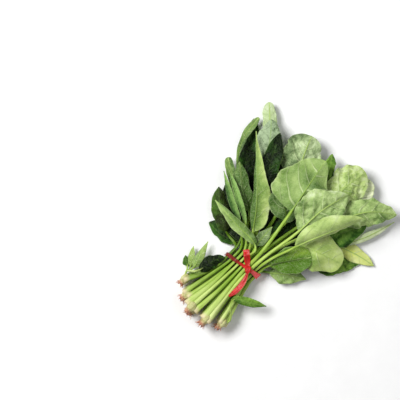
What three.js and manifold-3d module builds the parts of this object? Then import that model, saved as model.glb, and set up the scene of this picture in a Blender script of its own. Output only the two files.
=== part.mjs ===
// A tied bunch of young spinach lying on its side: eleven plants, each cut at the root, and one red tie.
// Millimetres. +X runs along the stalks towards the leaf tips, +Z is up, and the bunch rests on z = 0.
// Every plant is one closed solid: a cut crown with its root stub, its stalks and its leaf blades.
// The leaves are laid one by one from the bottom of the pile to its top, and each is draped on those
// below it, so no two plants cross.

import * as THREE from 'three';
import { mergeVertices } from 'three/addons/utils/BufferGeometryUtils.js';
import Module from 'manifold-3d';

const wasm = await Module();
wasm.setup();

// ---------------------------------------------------------------------------------------------
// Driving dimensions
// ---------------------------------------------------------------------------------------------

const SLOT_PITCH = 5.5; // from stalk to stalk where the tie holds them
const SLOT_FLOOR = 5.2; // height of the lowest row of stalks in the tie
const STALK_RADIUS = 2.3; // at the tie
const STALK_FOOT_RADIUS = 3.8; // where the stalk leaves its crown
const STALK_NECK_RADIUS = 1.7; // where the stalk meets its blade
const STALK_SIDES = 5;
const STALK_STEP = 18; // from one ring of a stalk's points to the next, at the most 6 of them
const STALK_TURN = 0.37; // turns the stalk's sides off the planes of the blade's foot, rad
const STALK_SUNK = 0.13; // how far past the blade's first row the stalk ends inside the midrib
const STALK_END = 0.975; // the stalk's last ring stands this far along, short of the blade's foot
const STALK_TIP = 0.7; // of its radius is left where the stalk ends inside the midrib
const STALK_CORE = 0.55; // the share of a stalk's width that the pile counts, so that neighbours lie level
// a wider blade has a thicker stalk: its scale grows with half the blade's width
const STALK_SCALE = { start: 0.62, perHalf: 1 / 60, least: 0.6, most: 1.12 };
const CLOSER_AT_TIE = 1.5; // the points of a stalk crowd together towards the tie
const TIE_STRAIGHT = 8; // the stalks run parallel this far to each side of the tie

const CROWN_SPREAD_Y = 1.85; // the cut ends spread this much wider than the stalks in the tie
const CROWN_SPREAD_Z = 1.7;
const CROWN_FLOOR = 5.9; // height of the lowest crowns' middles
const CROWN_REACH = 88; // from the tie to the middle crowns
const CROWN_ARC = 0.012; // how fast the outer crowns fall back, per mm
const CROWN_RADIUS = 5.6;
const FOOT_SPREAD = 1.3; // how much wider than in the tie a plant's stalks stand on its crown
const ROOT_RADIUS = 3.6;
const ROOT_LENGTH = 8;
const SPRIG_START = 9; // from the crown's middle to where a small leaf's stalk comes off it
// the crown's outline from its cut end on: its radius over CROWN_RADIUS, and millimetres along it
const CROWN_OUTLINE = [[1, 0], [0.95, 5], [0.6, 9], [0, 10]];
const CROWN_SIDES = 8;
const SMALL_CROWN = 0.85; // size of a crown with only one or two stalks
const ROOT_SWELL = { radius: 1.15, along: 0.4 }; // the root is widest near its crown

const BLADE_THICKNESS = 0.8;
const RIB_HEIGHT = 2.2; // how far the midrib stands out of the underside at the blade's foot
const FOOT_HALF = 2.4; // half the blade's width at its foot
const TIP_HALF = 0.7; // half the blade's width at its blunt tip
const SMALL_HALF = 15; // blades narrower than this need fewer points
const RUFFLE = 0.12; // wave height of a blade's edge over half the blade's width
const RUFFLE_WAVES = 1.6; // waves along a blade
const RUFFLE_STEP = 0.37; // how far the wave has moved on from one leaf to the next
const RUFFLE_APART = 1.9; // and between the two edges of a blade, rad
const RIB_END = 0.9; // the midrib runs out this far along the blade
const SMALL_COLUMNS = [-1, -0.25, 0, 0.25, 1]; // points across a blade, over half its width
const LARGE_COLUMNS = [-1, -0.55, -0.12, 0, 0.12, 0.55, 1];
const RIB_COLUMNS = 0.2; // the midrib's points lie within this
const SMALL_ROWS = 5;
const LARGE_ROWS = 6;

const CELL = 1.5; // cell of the height map that the leaves are laid on
const SAMPLE_STEP = 0.9; // from sample to sample of a leaf on that map
const SURFACE = -0.3; // leaves sink this far below z = 0, where they are cut flat
const LAYER_GAP = 1.1; // clear height left between two layers
const DRAPE_PASSES = 60;
const DRAPE_SPRING = 0.95; // how much of its neighbours' lift a point of the leaf takes on

const TIE_GAP = 0.4;
const TIE_THICKNESS = 1.3;
const TIE_WIDTH = 6;
const TIE_SLANT = 0.2; // how far the tie runs back along the stalks for each mm across them
const TIE_SIDES = 30;
const TIE_END_STEPS = 8;
const TIE_END_TAPER = 0.8; // how far along a loose end its point begins
const TAIL_GAP = 0.5; // between a loose end and what it lies on

// Outlines of a blade: the width goes with s^rise * (1 - s)^fall from its foot, s = 0, to its tip, s = 1.
const OVATE = { rise: 0.6, fall: 0.75 };
const ROUND = { rise: 0.5, fall: 0.45 };
const LANCE = { rise: 0.75, fall: 0.95 };
const BLUNT = { rise: 0.7, fall: 0.35 };
const TAIL = { rise: 0.55, fall: 1.3 };
const WIDE = { rise: 0.42, fall: 0.7 };
const UPPER = 'upper';
const UNDER = 'under';

const grow = (name, slot, base, middle, tip, shape) => ({
  name, slot, base, middle, tip, roll: 0, lean: 0, ...shape,
});

// The leaves, from the bottom of the pile to its top. slot is the column and row that the stalk has
// in the tie. base, middle and tip are points of the midrib before the leaf is draped, half is half
// the blade's width, lean is the share of it that goes from the right side to the left, roll tilts
// the blade about its midrib, fold lifts (+) or drops (-) both edges, and face is the side that
// looks up.
const LEAVES = [
  grow('F1', [-2, 0], [85, -38, 2], [112, -52, 2], [150, -70, 2],
    { half: 20, fold: 2, form: OVATE, face: UPPER }),
  grow('F3', [0, 0], [85, 2, 2], [118, 4, 2], [160, 8, 2],
    { half: 20, fold: 2, form: OVATE, face: UPPER }),
  grow('F6', [3, 0], [64, 61, 2], [104, 96, 2], [148, 126, 2],
    { half: 16, lean: -0.3, fold: 2, form: OVATE, face: UPPER }),
  grow('F2', [-1, 0], [90, -18, 2], [125, -26, 2], [165, -34, 2],
    { half: 20, fold: 2, form: OVATE, face: UPPER }),
  grow('F4', [1, 0], [88, 20, 2], [122, 32, 2], [160, 44, 2],
    { half: 18, fold: 2, form: OVATE, face: UPPER }),
  grow('F5', [2, 0], [85, 36, 2], [112, 54, 2], [145, 78, 2],
    { half: 17, fold: 2, form: OVATE, face: UPPER }),
  grow('A12', [-4, 0], [61, -56, 6], [86, -84, 8], [112, -109, 4],
    { half: 15, fold: -12, form: LANCE, face: UPPER }),
  grow('A11', [-3, 0], [99, -61, 8], [114, -91, 9], [122, -124, 4],
    { half: 12, fold: -10, form: LANCE, face: UNDER }),
  grow('D6', [4, 0], [16, 27, 9], [9, 47, 11], [9, 71, 6],
    { half: 18, lean: -0.5, roll: 8, fold: -16, form: WIDE, face: UPPER }),
  grow('F7', [-3, 1], [44, -33, 8], [66, -52, 8], [98, -80, 6],
    { half: 17, fold: 4, form: OVATE, face: UPPER }),
  grow('F8', [-1, 1], [44, -8, 9], [71, -13, 9], [112, -20, 8],
    { half: 19, fold: 4, form: OVATE, face: UPPER }),
  grow('F9', [0, 1], [46, 6, 9], [72, 14, 9], [116, 28, 8],
    { half: 19, fold: 4, form: OVATE, face: UPPER }),
  grow('F10', [2, 1], [22, 20, 8], [42, 56, 8], [64, 92, 8],
    { half: 17, fold: 4, form: OVATE, face: UPPER }),
  grow('C3', [3, 1], [91, 101, 14], [120, 117, 16], [153, 122, 10],
    { half: 5, roll: 10, fold: 20, form: BLUNT, face: UNDER }),
  grow('D5', [4, 1], [16, 47, 10], [30, 71, 10], [51, 95, 5],
    { half: 12, lean: 0, roll: 8, fold: -10, form: OVATE, face: UPPER }),
  grow('A7', [-2, 1], [107, -71, 12], [141, -89, 14], [182, -102, 8],
    { half: 5, roll: -8, fold: -8, form: LANCE, face: UNDER }),
  grow('A10', [-4, 1], [18, -32, 12], [31, -49, 12], [46, -73, 6],
    { half: 12, fold: -8, form: LANCE, face: UNDER }),
  grow('B2', [1, 1], [132, 30, 28], [155, 44, 34], [184, 56, 24],
    { half: 29, lean: 0.1, fold: -16, form: ROUND, face: UNDER }),
  grow('C1', [2, 2], [133, 82, 18], [156, 105, 18], [177, 127, 12],
    { half: 10, fold: -10, form: ROUND, face: UNDER }),
  grow('B3', [0, 2], [146, 1, 24], [168, 9, 24], [187, 20, 16],
    { half: 9, fold: 20, form: OVATE, face: UPPER }),
  grow('A6', [-2, 2], [97, -50, 20], [126, -64, 22], [157, -76, 16],
    { half: 17, fold: 6, form: OVATE, face: UPPER }),
  grow('B1b', [-1, 2], [149, -43, 24], [171, -43, 24], [198, -39, 16],
    { half: 17, fold: -10, form: ROUND, face: UNDER }),
  grow('D2', [4, 2], [50, 49, 18], [68, 83, 20], [87, 114, 16],
    { half: 7, roll: 15, fold: 30, form: BLUNT, face: UNDER }),
  grow('C2', [2, 3], [113, 73, 28], [141, 91, 30], [162, 109, 24],
    { half: 17, fold: -8, form: OVATE, face: UPPER }),
  grow('C5', [1, 2], [84, 45, 30], [118, 68, 34], [157, 88, 28],
    { half: 14, fold: 6, form: OVATE, face: UPPER }),
  grow('D1', [3, 2], [55, 43, 22], [72, 72, 28], [93, 99, 24],
    { half: 11, roll: 10, fold: -18, form: OVATE, face: UNDER }),
  grow('D3a', [3, 3], [35, 40, 28], [52, 73, 33], [70, 105, 28],
    { half: 5, roll: 12, fold: 36, form: LANCE, face: UPPER }),
  grow('D3b', [2, 4], [41, 36, 32], [59, 68, 38], [75, 100, 34],
    { half: 5, fold: 36, form: LANCE, face: UPPER }),
  grow('B1a', [-1, 3], [140, -24, 34], [166, -22, 38], [200, -28, 26],
    { half: 26, fold: -14, form: ROUND, face: UNDER }),
  grow('A5', [-2, 3], [128, -47, 34], [164, -65, 38], [189, -96, 24],
    { half: 20, fold: -22, form: OVATE, face: UNDER }),
  grow('A8', [-3, 2], [72, -37, 28], [82, -59, 34], [93, -91, 22],
    { half: 26, fold: -14, form: ROUND, face: UNDER }),
  grow('A9', [-4, 2], [24, -24, 26], [47, -38, 32], [71, -55, 26],
    { half: 18, roll: -5, fold: -8, form: BLUNT, face: UNDER }),
  grow('C4', [1, 3], [41, 23, 34], [80, 54, 44], [136, 112, 38],
    { half: 13, lean: -0.5, fold: -18, form: TAIL, face: UNDER }),
  grow('A4', [0, 3], [79, 2, 36], [100, 25, 42], [134, 46, 38],
    { half: 19, fold: -10, form: OVATE, face: UNDER }),
  grow('D7', [0, 4], [31, 6, 34], [43, 8, 38], [63, 9, 36],
    { half: 8, fold: 12, form: LANCE, face: UNDER }),
  grow('D4', [1, 4], [29, 5, 36], [32, 45, 44], [35, 86, 38],
    { half: 8, fold: 30, form: LANCE, face: UNDER }),
  grow('A1', [-1, 4], [94, 6, 46], [132, 14, 56], [172, 21, 48],
    { half: 35, lean: 0.22, fold: -8, form: WIDE, face: UNDER }),
  grow('A2', [-2, 4], [83, -19, 46], [121, -20, 56], [161, -31, 46],
    { half: 28, fold: -8, form: OVATE, face: UNDER }),
  grow('A3', [-3, 3], [66, -30, 42], [107, -46, 52], [153, -66, 46],
    { half: 13, lean: 0.75, roll: 10, fold: -24, form: OVATE, face: UNDER }),
];

// Small leaves low on a plant. Their stalks leave the crown and stay out of the tie.
const SPRIGS = [
  grow('E4c', null, [-52, 50, 6], [-49, 56, 6], [-44, 62, 4],
    { half: 5, fold: -10, form: LANCE, face: UPPER }),
  grow('E4b', null, [-50, 46, 9], [-41, 54, 10], [-28, 63, 7],
    { half: 5, fold: 8, form: LANCE, face: UNDER }),
  grow('E4a', null, [-48, 43, 12], [-34, 47, 15], [-10, 54, 12],
    { half: 6, fold: -10, form: LANCE, face: UNDER }),
  grow('E2', null, [-45, 36, 15], [-25, 32, 18], [-9, 24, 14],
    { half: 9, fold: -10, form: OVATE, face: UPPER }),
  grow('E1', null, [-42, -22, 27], [-29, -39, 28], [-16, -60, 20],
    { half: 6, fold: 8, form: LANCE, face: UPPER }),
];

// Which leaves grow from which crown.
const PLANTS = {
  plant_01: ['A12', 'A11', 'A10', 'F7'],
  plant_02: ['A9', 'A8', 'A3', 'E1'],
  plant_03: ['F1', 'F2', 'A7', 'F8'],
  plant_04: ['A6', 'B1b', 'A5', 'B1a'],
  plant_05: ['F3', 'F4', 'F9', 'B2'],
  plant_06: ['B3', 'C5', 'A4', 'C4'],
  plant_07: ['F5', 'F6', 'F10', 'C3'],
  plant_08: ['C1', 'D1', 'C2', 'D3a'],
  plant_09: ['D6', 'D5', 'D2', 'E2', 'E4a', 'E4b', 'E4c'],
  plant_10: ['A2', 'A1'],
  plant_11: ['D7', 'D4', 'D3b'],
};

// The tie's loose ends lie on the stalks: points of each end's middle line, before it is draped, half
// its width, and the share of that which is left at its tip.
const KNOT = new THREE.Vector3(1, -9, 32.2);
const KNOT_SIZE = [5.2, 4.6, 2.6];
const TIE_ENDS = [
  { points: [[0, -9, 31.5], [-19, -16.5, 32], [-41, -15, 30]], half: 3.4, leftAtTip: 0.4 },
  { points: [[2, -8, 31.5], [10, 2, 32], [18, 12, 33]], half: 4.2, leftAtTip: 1 },
];

const STALK_COLOUR = 0xa6c85a;
const TIE_COLOUR = 0xd8303a;

// ---------------------------------------------------------------------------------------------
// Places of the stalks and crowns
// ---------------------------------------------------------------------------------------------

const vector = (point) => new THREE.Vector3(...point);

function slotPlace(slot, x) {
  return new THREE.Vector3(x, slot[0] * SLOT_PITCH, SLOT_FLOOR + slot[1] * SLOT_PITCH);
}

const leafNamed = Object.fromEntries([...LEAVES, ...SPRIGS].map((leaf) => [leaf.name, leaf]));

function cellMiddle(names) {
  const middle = new THREE.Vector3();
  const held = names.map((name) => leafNamed[name]).filter((leaf) => leaf.slot);
  held.forEach((leaf) => middle.add(slotPlace(leaf.slot, 0)));
  return middle.divideScalar(held.length);
}

const cells = Object.fromEntries(
  Object.entries(PLANTS).map(([plant, names]) => [plant, cellMiddle(names)]),
);
const lowestCell = Math.min(...Object.values(cells).map((cell) => cell.z));

function crownPlace(cell) {
  const y = cell.y * CROWN_SPREAD_Y;
  const x = CROWN_ARC * y * y - CROWN_REACH;
  return new THREE.Vector3(x, y, CROWN_FLOOR + (cell.z - lowestCell) * CROWN_SPREAD_Z);
}

// ---------------------------------------------------------------------------------------------
// The line of a leaf, from its crown through the tie to its tip
// ---------------------------------------------------------------------------------------------

function hermite(from, fromSlope, to, toSlope, u) {
  const v = 1 - u;
  return from.clone().multiplyScalar(v * v * (1 + 2 * u))
    .addScaledVector(to, u * u * (3 - 2 * u))
    .addScaledVector(fromSlope, v * v * u)
    .addScaledVector(toSlope, -u * u * v);
}

function leafLine(leaf, cell) {
  const crown = crownPlace(cell);
  const base = vector(leaf.base);
  const middle = vector(leaf.middle);
  const tip = vector(leaf.tip);
  const start = crown.clone();
  const foot = crown.clone();
  if (leaf.slot) {
    start.copy(slotPlace(leaf.slot, TIE_STRAIGHT));
    foot.add(slotPlace(leaf.slot, 0).sub(cell).setX(0).multiplyScalar(FOOT_SPREAD));
  } else {
    start.add(new THREE.Vector3(SPRIG_START, Math.sign(base.y) * CROWN_RADIUS, 0));
  }
  const reach = start.distanceTo(base);
  const startSlope = new THREE.Vector3(reach, 0, 0);
  const baseWay = middle.clone().sub(start).normalize();
  const middleSlope = tip.clone().sub(base).multiplyScalar(0.5);
  const tipSlope = tip.clone().sub(middle).multiplyScalar(1.5).addScaledVector(middleSlope, -0.5);
  const firstHalf = base.distanceTo(middle);
  const baseSlope = baseWay.clone().multiplyScalar(firstHalf);
  const stalkEnd = baseWay.clone().multiplyScalar(reach);
  return {
    foot,
    start,
    stalk: (u) => hermite(start, startSlope, base, stalkEnd, u),
    blade: (s) => (s < 0.5
      ? hermite(base, baseSlope, middle, middleSlope, s * 2)
      : hermite(middle, middleSlope, tip, tipSlope, s * 2 - 1)),
  };
}

// ---------------------------------------------------------------------------------------------
// A leaf as rows of points across its line, each with its height above and below the middle sheet
// ---------------------------------------------------------------------------------------------

function stalkScale(leaf) {
  const scale = STALK_SCALE.start + leaf.half * STALK_SCALE.perHalf;
  return THREE.MathUtils.clamp(scale, STALK_SCALE.least, STALK_SCALE.most);
}

function halfWidth(leaf, s) {
  const { rise, fall } = leaf.form;
  const peak = rise / (rise + fall);
  const shape = (s ** rise * (1 - s) ** fall) / (peak ** rise * (1 - peak) ** fall);
  const least = FOOT_HALF * stalkScale(leaf) * (1 - s) + TIP_HALF * s;
  return Math.max(leaf.half * shape, least);
}

const isSmall = (leaf) => leaf.half * (1 + Math.abs(leaf.lean)) < SMALL_HALF;

function columns(leaf) {
  return isSmall(leaf) ? SMALL_COLUMNS : LARGE_COLUMNS;
}

function stalkRows(leaf, line) {
  const scale = stalkScale(leaf);
  const rows = [];
  const add = (point, radius, fixed) => rows.push({ point, radius: radius * scale, fixed });
  if (leaf.slot) {
    const enter = slotPlace(leaf.slot, -TIE_STRAIGHT);
    add(line.foot, STALK_FOOT_RADIUS, true);
    add(enter, STALK_RADIUS, true);
    add(line.start, STALK_RADIUS, true);
  } else {
    add(line.foot, STALK_RADIUS, true);
    add(line.start, STALK_RADIUS, true);
  }
  const reach = line.start.distanceTo(vector(leaf.base));
  const steps = THREE.MathUtils.clamp(Math.round(reach / STALK_STEP), 2, 6);
  for (let k = 1; k <= steps; k += 1) {
    const u = STALK_END * (k / steps) ** CLOSER_AT_TIE;
    add(line.stalk(u), THREE.MathUtils.lerp(STALK_RADIUS, STALK_NECK_RADIUS, u), false);
  }
  return rows;
}

function bladeRows(leaf, line, index) {
  const steps = isSmall(leaf) ? SMALL_ROWS : LARGE_ROWS;
  const roll = THREE.MathUtils.degToRad(leaf.roll);
  const fold = THREE.MathUtils.degToRad(leaf.fold);
  const up = new THREE.Vector3(0, 0, 1);
  const rows = [];
  for (let i = 0; i <= steps; i += 1) {
    const s = (1 - Math.cos((Math.PI * i) / steps)) / 2;
    const point = line.blade(s);
    const along = line.blade(Math.min(s + 0.01, 1)).sub(line.blade(Math.max(s - 0.01, 0))).normalize();
    const level = up.clone().cross(along).normalize();
    const width = halfWidth(leaf, s);
    const open = Math.sin(Math.PI * s) ** 0.5;
    const side = level.clone().applyAxisAngle(along, -roll * open);
    const rise = along.clone().cross(side).normalize();
    const points = columns(leaf).map((t) => {
      const turns = RUFFLE_WAVES * s + RUFFLE_STEP * index;
      const wave = Math.sin(2 * Math.PI * turns + (t < 0 ? RUFFLE_APART : 0));
      const size = Math.abs(t);
      const height = (size * Math.sin(fold) * (0.6 + 0.4 * size) + RUFFLE * wave * size * size) * open;
      const across = t * width * (1 + leaf.lean * Math.sign(t)) * Math.cos(fold * open);
      return point.clone().addScaledVector(side, across).addScaledVector(rise, width * height);
    });
    rows.push({ s, points });
  }
  return rows;
}

function ribHeight(leaf, s) {
  return RIB_HEIGHT * stalkScale(leaf) * Math.max(0, 1 - s / RIB_END);
}

// ---------------------------------------------------------------------------------------------
// Draping: a height map of the pile so far, and the lift that brings a leaf clear of it
// ---------------------------------------------------------------------------------------------

const MAP = { x: -130, y: -150, columns: 250, rows: 210 };
const pile = new Float64Array(MAP.columns * MAP.rows);

function cellIndex(x, y) {
  return Math.floor((y - MAP.y) / CELL) * MAP.columns + Math.floor((x - MAP.x) / CELL);
}

function sheet(leaf, stalk, blade) {
  const across = columns(leaf);
  const underUp = leaf.face === UNDER;
  const rows = stalk.map((row, i) => {
    const next = stalk[Math.min(i + 1, stalk.length - 1)].point;
    const last = stalk[Math.max(i - 1, 0)].point;
    const side = new THREE.Vector3(0, 0, 1).cross(next.clone().sub(last)).normalize();
    return {
      fixed: row.fixed,
      stalk: true,
      points: across.map((t) => row.point.clone().addScaledVector(side, t * row.radius * STALK_CORE)),
      above: across.map(() => row.radius),
      below: across.map(() => row.radius),
    };
  });
  for (const row of blade) {
    const rib = across.map((t) => (Math.abs(t) < RIB_COLUMNS ? ribHeight(leaf, row.s) : 0));
    const plain = BLADE_THICKNESS / 2;
    rows.push({
      fixed: false,
      stalk: false,
      points: row.points,
      above: rib.map((height) => plain + (underUp ? height : 0)),
      below: rib.map((height) => plain + (underUp ? 0 : height)),
    });
  }
  return rows;
}

function eachSample(rows, lift, visit) {
  for (let i = 0; i + 1 < rows.length; i += 1) {
    for (let j = 0; j + 1 < rows[i].points.length; j += 1) {
      const corners = [[i, j], [i + 1, j], [i, j + 1], [i + 1, j + 1]];
      const places = corners.map(([a, b]) => rows[a].points[b]);
      const long = Math.max(places[0].distanceTo(places[1]), places[2].distanceTo(places[3]));
      const wide = Math.max(places[0].distanceTo(places[2]), places[1].distanceTo(places[3]));
      const countU = Math.ceil(long / SAMPLE_STEP);
      const countV = Math.ceil(wide / SAMPLE_STEP);
      for (let a = 0; a <= countU; a += 1) {
        for (let b = 0; b <= countV; b += 1) {
          const u = a / countU;
          const v = b / countV;
          const weights = [(1 - u) * (1 - v), u * (1 - v), (1 - u) * v, u * v];
          const mix = (pick) => corners.reduce((sum, [p, q], k) => sum + weights[k] * pick(p, q), 0);
          visit({
            x: mix((p, q) => rows[p].points[q].x),
            y: mix((p, q) => rows[p].points[q].y),
            z: mix((p, q) => rows[p].points[q].z + lift[p][q]),
            above: mix((p, q) => rows[p].above[q]),
            below: mix((p, q) => rows[p].below[q]),
            corners,
          });
        }
      }
    }
  }
}

function drape(rows, gap) {
  const need = rows.map((row) => row.points.map(() => 0));
  const unlifted = rows.map((row) => row.points.map(() => 0));
  eachSample(rows, unlifted, ({ x, y, z, below, corners }) => {
    const floor = pile[cellIndex(x, y)];
    const lack = (floor > 0 ? floor + gap : SURFACE) - (z - below);
    if (lack > 0) corners.forEach(([p, q]) => { need[p][q] = Math.max(need[p][q], lack); });
  });
  const lift = need.map((line) => [...line]);
  const settleRow = (i) => {
    if (rows[i].fixed) lift[i].fill(0);
    else if (rows[i].stalk) lift[i].fill(Math.max(...lift[i]));
  };
  rows.forEach((row, i) => settleRow(i));
  for (let pass = 0; pass < DRAPE_PASSES; pass += 1) {
    for (let i = 0; i < rows.length; i += 1) {
      if (rows[i].fixed) continue;
      for (let j = 0; j < lift[i].length; j += 1) {
        const before = lift[Math.max(i - 1, 0)][j];
        const after = lift[Math.min(i + 1, rows.length - 1)][j];
        const left = lift[i][Math.max(j - 1, 0)];
        const right = lift[i][Math.min(j + 1, lift[i].length - 1)];
        const even = (before + after + left + right) / 4;
        lift[i][j] = Math.max(need[i][j], DRAPE_SPRING * even);
      }
      settleRow(i);
    }
  }
  return lift;
}

function addToPile(rows, lift) {
  const tops = new Map();
  eachSample(rows, lift, ({ x, y, z, above }) => {
    for (const dx of [-0.5, 0, 0.5]) {
      for (const dy of [-0.5, 0, 0.5]) {
        const cell = cellIndex(x + dx * CELL, y + dy * CELL);
        tops.set(cell, Math.max(tops.get(cell) ?? 0, z + above));
      }
    }
  });
  tops.forEach((top, cell) => { pile[cell] = Math.max(pile[cell], top); });
}

// ---------------------------------------------------------------------------------------------
// Solids
// ---------------------------------------------------------------------------------------------

function solidFrom(points, triangles) {
  const mesh = new wasm.Mesh({
    numProp: 3,
    vertProperties: new Float32Array(points.flatMap((point) => [point.x, point.y, point.z])),
    triVerts: new Uint32Array(triangles.flat()),
  });
  return new wasm.Manifold(mesh);
}

function solidFromGeometry(geometry) {
  geometry.deleteAttribute('normal');
  geometry.deleteAttribute('uv');
  const merged = mergeVertices(geometry, 1e-4);
  return new wasm.Manifold(new wasm.Mesh({
    numProp: 3,
    vertProperties: new Float32Array(merged.attributes.position.array),
    triVerts: new Uint32Array(merged.index.array),
  }));
}

// A closed solid from two sheets of points with the same grid, split into triangles alike.
function sheetSolid(top, bottom) {
  const rows = top.length;
  const across = top[0].length;
  const points = [...top.flat(), ...bottom.flat()];
  const upper = (i, j) => i * across + j;
  const lower = (i, j) => rows * across + i * across + j;
  const triangles = [];
  const quad = (a, b, c, d) => triangles.push([a, b, c], [a, c, d]);
  for (let i = 0; i + 1 < rows; i += 1) {
    for (let j = 0; j + 1 < across; j += 1) {
      quad(upper(i, j), upper(i + 1, j), upper(i + 1, j + 1), upper(i, j + 1));
      triangles.push([lower(i, j), lower(i + 1, j + 1), lower(i + 1, j)]);
      triangles.push([lower(i, j), lower(i, j + 1), lower(i + 1, j + 1)]);
    }
    quad(upper(i, 0), lower(i, 0), lower(i + 1, 0), upper(i + 1, 0));
    const j = across - 1;
    quad(upper(i + 1, j), lower(i + 1, j), lower(i, j), upper(i, j));
  }
  for (let j = 0; j + 1 < across; j += 1) {
    quad(upper(0, j + 1), lower(0, j + 1), lower(0, j), upper(0, j));
    const i = rows - 1;
    quad(upper(i, j), lower(i, j), lower(i, j + 1), upper(i, j + 1));
  }
  return solidFrom(points, triangles);
}

function sheetNormals(grid) {
  return grid.map((row, i) => row.map((point, j) => {
    const along = grid[Math.min(i + 1, grid.length - 1)][j].clone().sub(grid[Math.max(i - 1, 0)][j]);
    const across = row[Math.min(j + 1, row.length - 1)].clone().sub(row[Math.max(j - 1, 0)]);
    return along.cross(across).normalize();
  }));
}

function bladeSolid(leaf, rows, lift) {
  const grid = rows.map((row, i) => row.points.map((point, j) => point.clone().setZ(point.z + lift[i][j])));
  const normals = sheetNormals(grid);
  const shift = (amounts) => grid.map((row, i) => row.map((point, j) => (
    point.clone().addScaledVector(normals[i][j], amounts(i, j)))));
  const top = shift((i, j) => (rows[i].above[j]));
  const bottom = shift((i, j) => -rows[i].below[j]);
  return sheetSolid(top, bottom);
}

function stalkSolid(centres, radii) {
  const points = [];
  const triangles = [];
  centres.forEach((centre, i) => {
    const next = centres[Math.min(i + 1, centres.length - 1)];
    const last = centres[Math.max(i - 1, 0)];
    const along = next.clone().sub(last).normalize();
    const side = new THREE.Vector3(0, 0, 1).cross(along).normalize();
    const rise = along.clone().cross(side);
    for (let k = 0; k < STALK_SIDES; k += 1) {
      const angle = STALK_TURN + (2 * Math.PI * k) / STALK_SIDES;
      points.push(centre.clone()
        .addScaledVector(side, radii[i] * Math.cos(angle))
        .addScaledVector(rise, radii[i] * Math.sin(angle)));
    }
  });
  const at = (i, k) => i * STALK_SIDES + (k % STALK_SIDES);
  for (let i = 0; i + 1 < centres.length; i += 1) {
    for (let k = 0; k < STALK_SIDES; k += 1) {
      triangles.push([at(i, k), at(i, k + 1), at(i + 1, k + 1)]);
      triangles.push([at(i, k), at(i + 1, k + 1), at(i + 1, k)]);
    }
  }
  const last = centres.length - 1;
  for (let k = 1; k + 1 < STALK_SIDES; k += 1) {
    triangles.push([at(0, 0), at(0, k + 1), at(0, k)], [at(last, 0), at(last, k), at(last, k + 1)]);
  }
  return solidFrom(points, triangles);
}

function crownSolid(cell, count) {
  const radius = CROWN_RADIUS * (count > 2 ? 1 : SMALL_CROWN);
  const profile = [
    new THREE.Vector2(0, -ROOT_LENGTH),
    new THREE.Vector2(ROOT_RADIUS, -ROOT_LENGTH),
    new THREE.Vector2(ROOT_RADIUS * ROOT_SWELL.radius, -ROOT_LENGTH * ROOT_SWELL.along),
    ...CROWN_OUTLINE.map(([share, along]) => new THREE.Vector2(radius * share, along)),
  ];
  const geometry = new THREE.LatheGeometry(profile, CROWN_SIDES);
  geometry.rotateZ(-Math.PI / 2);
  const crown = crownPlace(cell);
  geometry.translate(crown.x, crown.y, crown.z);
  return solidFromGeometry(geometry);
}

// ---------------------------------------------------------------------------------------------
// Laying the leaves, and the plants
// ---------------------------------------------------------------------------------------------

const plantOf = {};
Object.entries(PLANTS).forEach(([plant, names]) => names.forEach((name) => { plantOf[name] = plant; }));
const pieces = Object.fromEntries(Object.keys(PLANTS).map((plant) => [plant, []]));

function layLeaf(leaf, index) {
  const plant = plantOf[leaf.name];
  const line = leafLine(leaf, cells[plant]);
  const stalk = stalkRows(leaf, line);
  const blade = bladeRows(leaf, line, index);
  const rows = sheet(leaf, stalk, blade);
  const lift = drape(rows, LAYER_GAP);
  addToPile(rows, lift);
  const middle = (columns(leaf).length - 1) / 2;
  const centres = stalk.map((row, i) => row.point.clone().setZ(row.point.z + lift[i][middle]));
  const radii = stalk.map((row) => row.radius);
  // the stalk ends a little inside the blade's foot
  const first = stalk.length;
  const inside = rows[first + 1].points[middle].clone().lerp(rows[first + 2].points[middle], STALK_SUNK);
  const insideLift = THREE.MathUtils.lerp(lift[first + 1][middle], lift[first + 2][middle], STALK_SUNK);
  centres.push(inside.setZ(inside.z + insideLift));
  radii.push(radii[radii.length - 1] * STALK_TIP);
  pieces[plant].push(stalkSolid(centres, radii));
  pieces[plant].push(bladeSolid(leaf, rows.slice(first), lift.slice(first)));
}

[...LEAVES, ...SPRIGS].forEach(layLeaf);

function plantMesh(plant) {
  const count = PLANTS[plant].filter((name) => leafNamed[name].slot).length;
  let solid = crownSolid(cells[plant], count);
  pieces[plant].forEach((piece) => { solid = solid.add(piece); });
  // the outer skin alone: a hollow that joining has sealed is filled
  const skins = solid.trimByPlane([0, 0, 1], 0).decompose();
  return skins.reduce((best, skin) => (skin.volume() > best.volume() ? skin : best));
}

function toMesh(solid, name, material) {
  const { vertProperties, triVerts } = solid.getMesh();
  const geometry = new THREE.BufferGeometry();
  geometry.setAttribute('position', new THREE.BufferAttribute(new Float32Array(vertProperties), 3));
  geometry.setIndex(new THREE.BufferAttribute(new Uint32Array(triVerts), 1));
  geometry.computeVertexNormals();
  const mesh = new THREE.Mesh(geometry, material);
  mesh.name = name;
  return mesh;
}

// ---------------------------------------------------------------------------------------------
// The tie
// ---------------------------------------------------------------------------------------------

function bundleOutline(distance) {
  const slots = LEAVES.map((leaf) => slotPlace(leaf.slot, 0));
  const points = [];
  for (let k = 0; k < TIE_SIDES; k += 1) {
    const angle = (2 * Math.PI * k) / TIE_SIDES;
    const way = new THREE.Vector3(0, Math.cos(angle), Math.sin(angle));
    const furthest = slots.reduce((best, slot) => (slot.dot(way) > best.dot(way) + 1e-9 ? slot : best));
    points.push(new THREE.Vector2(furthest.y + distance * way.y, furthest.z + distance * way.z));
  }
  return points;
}

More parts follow.
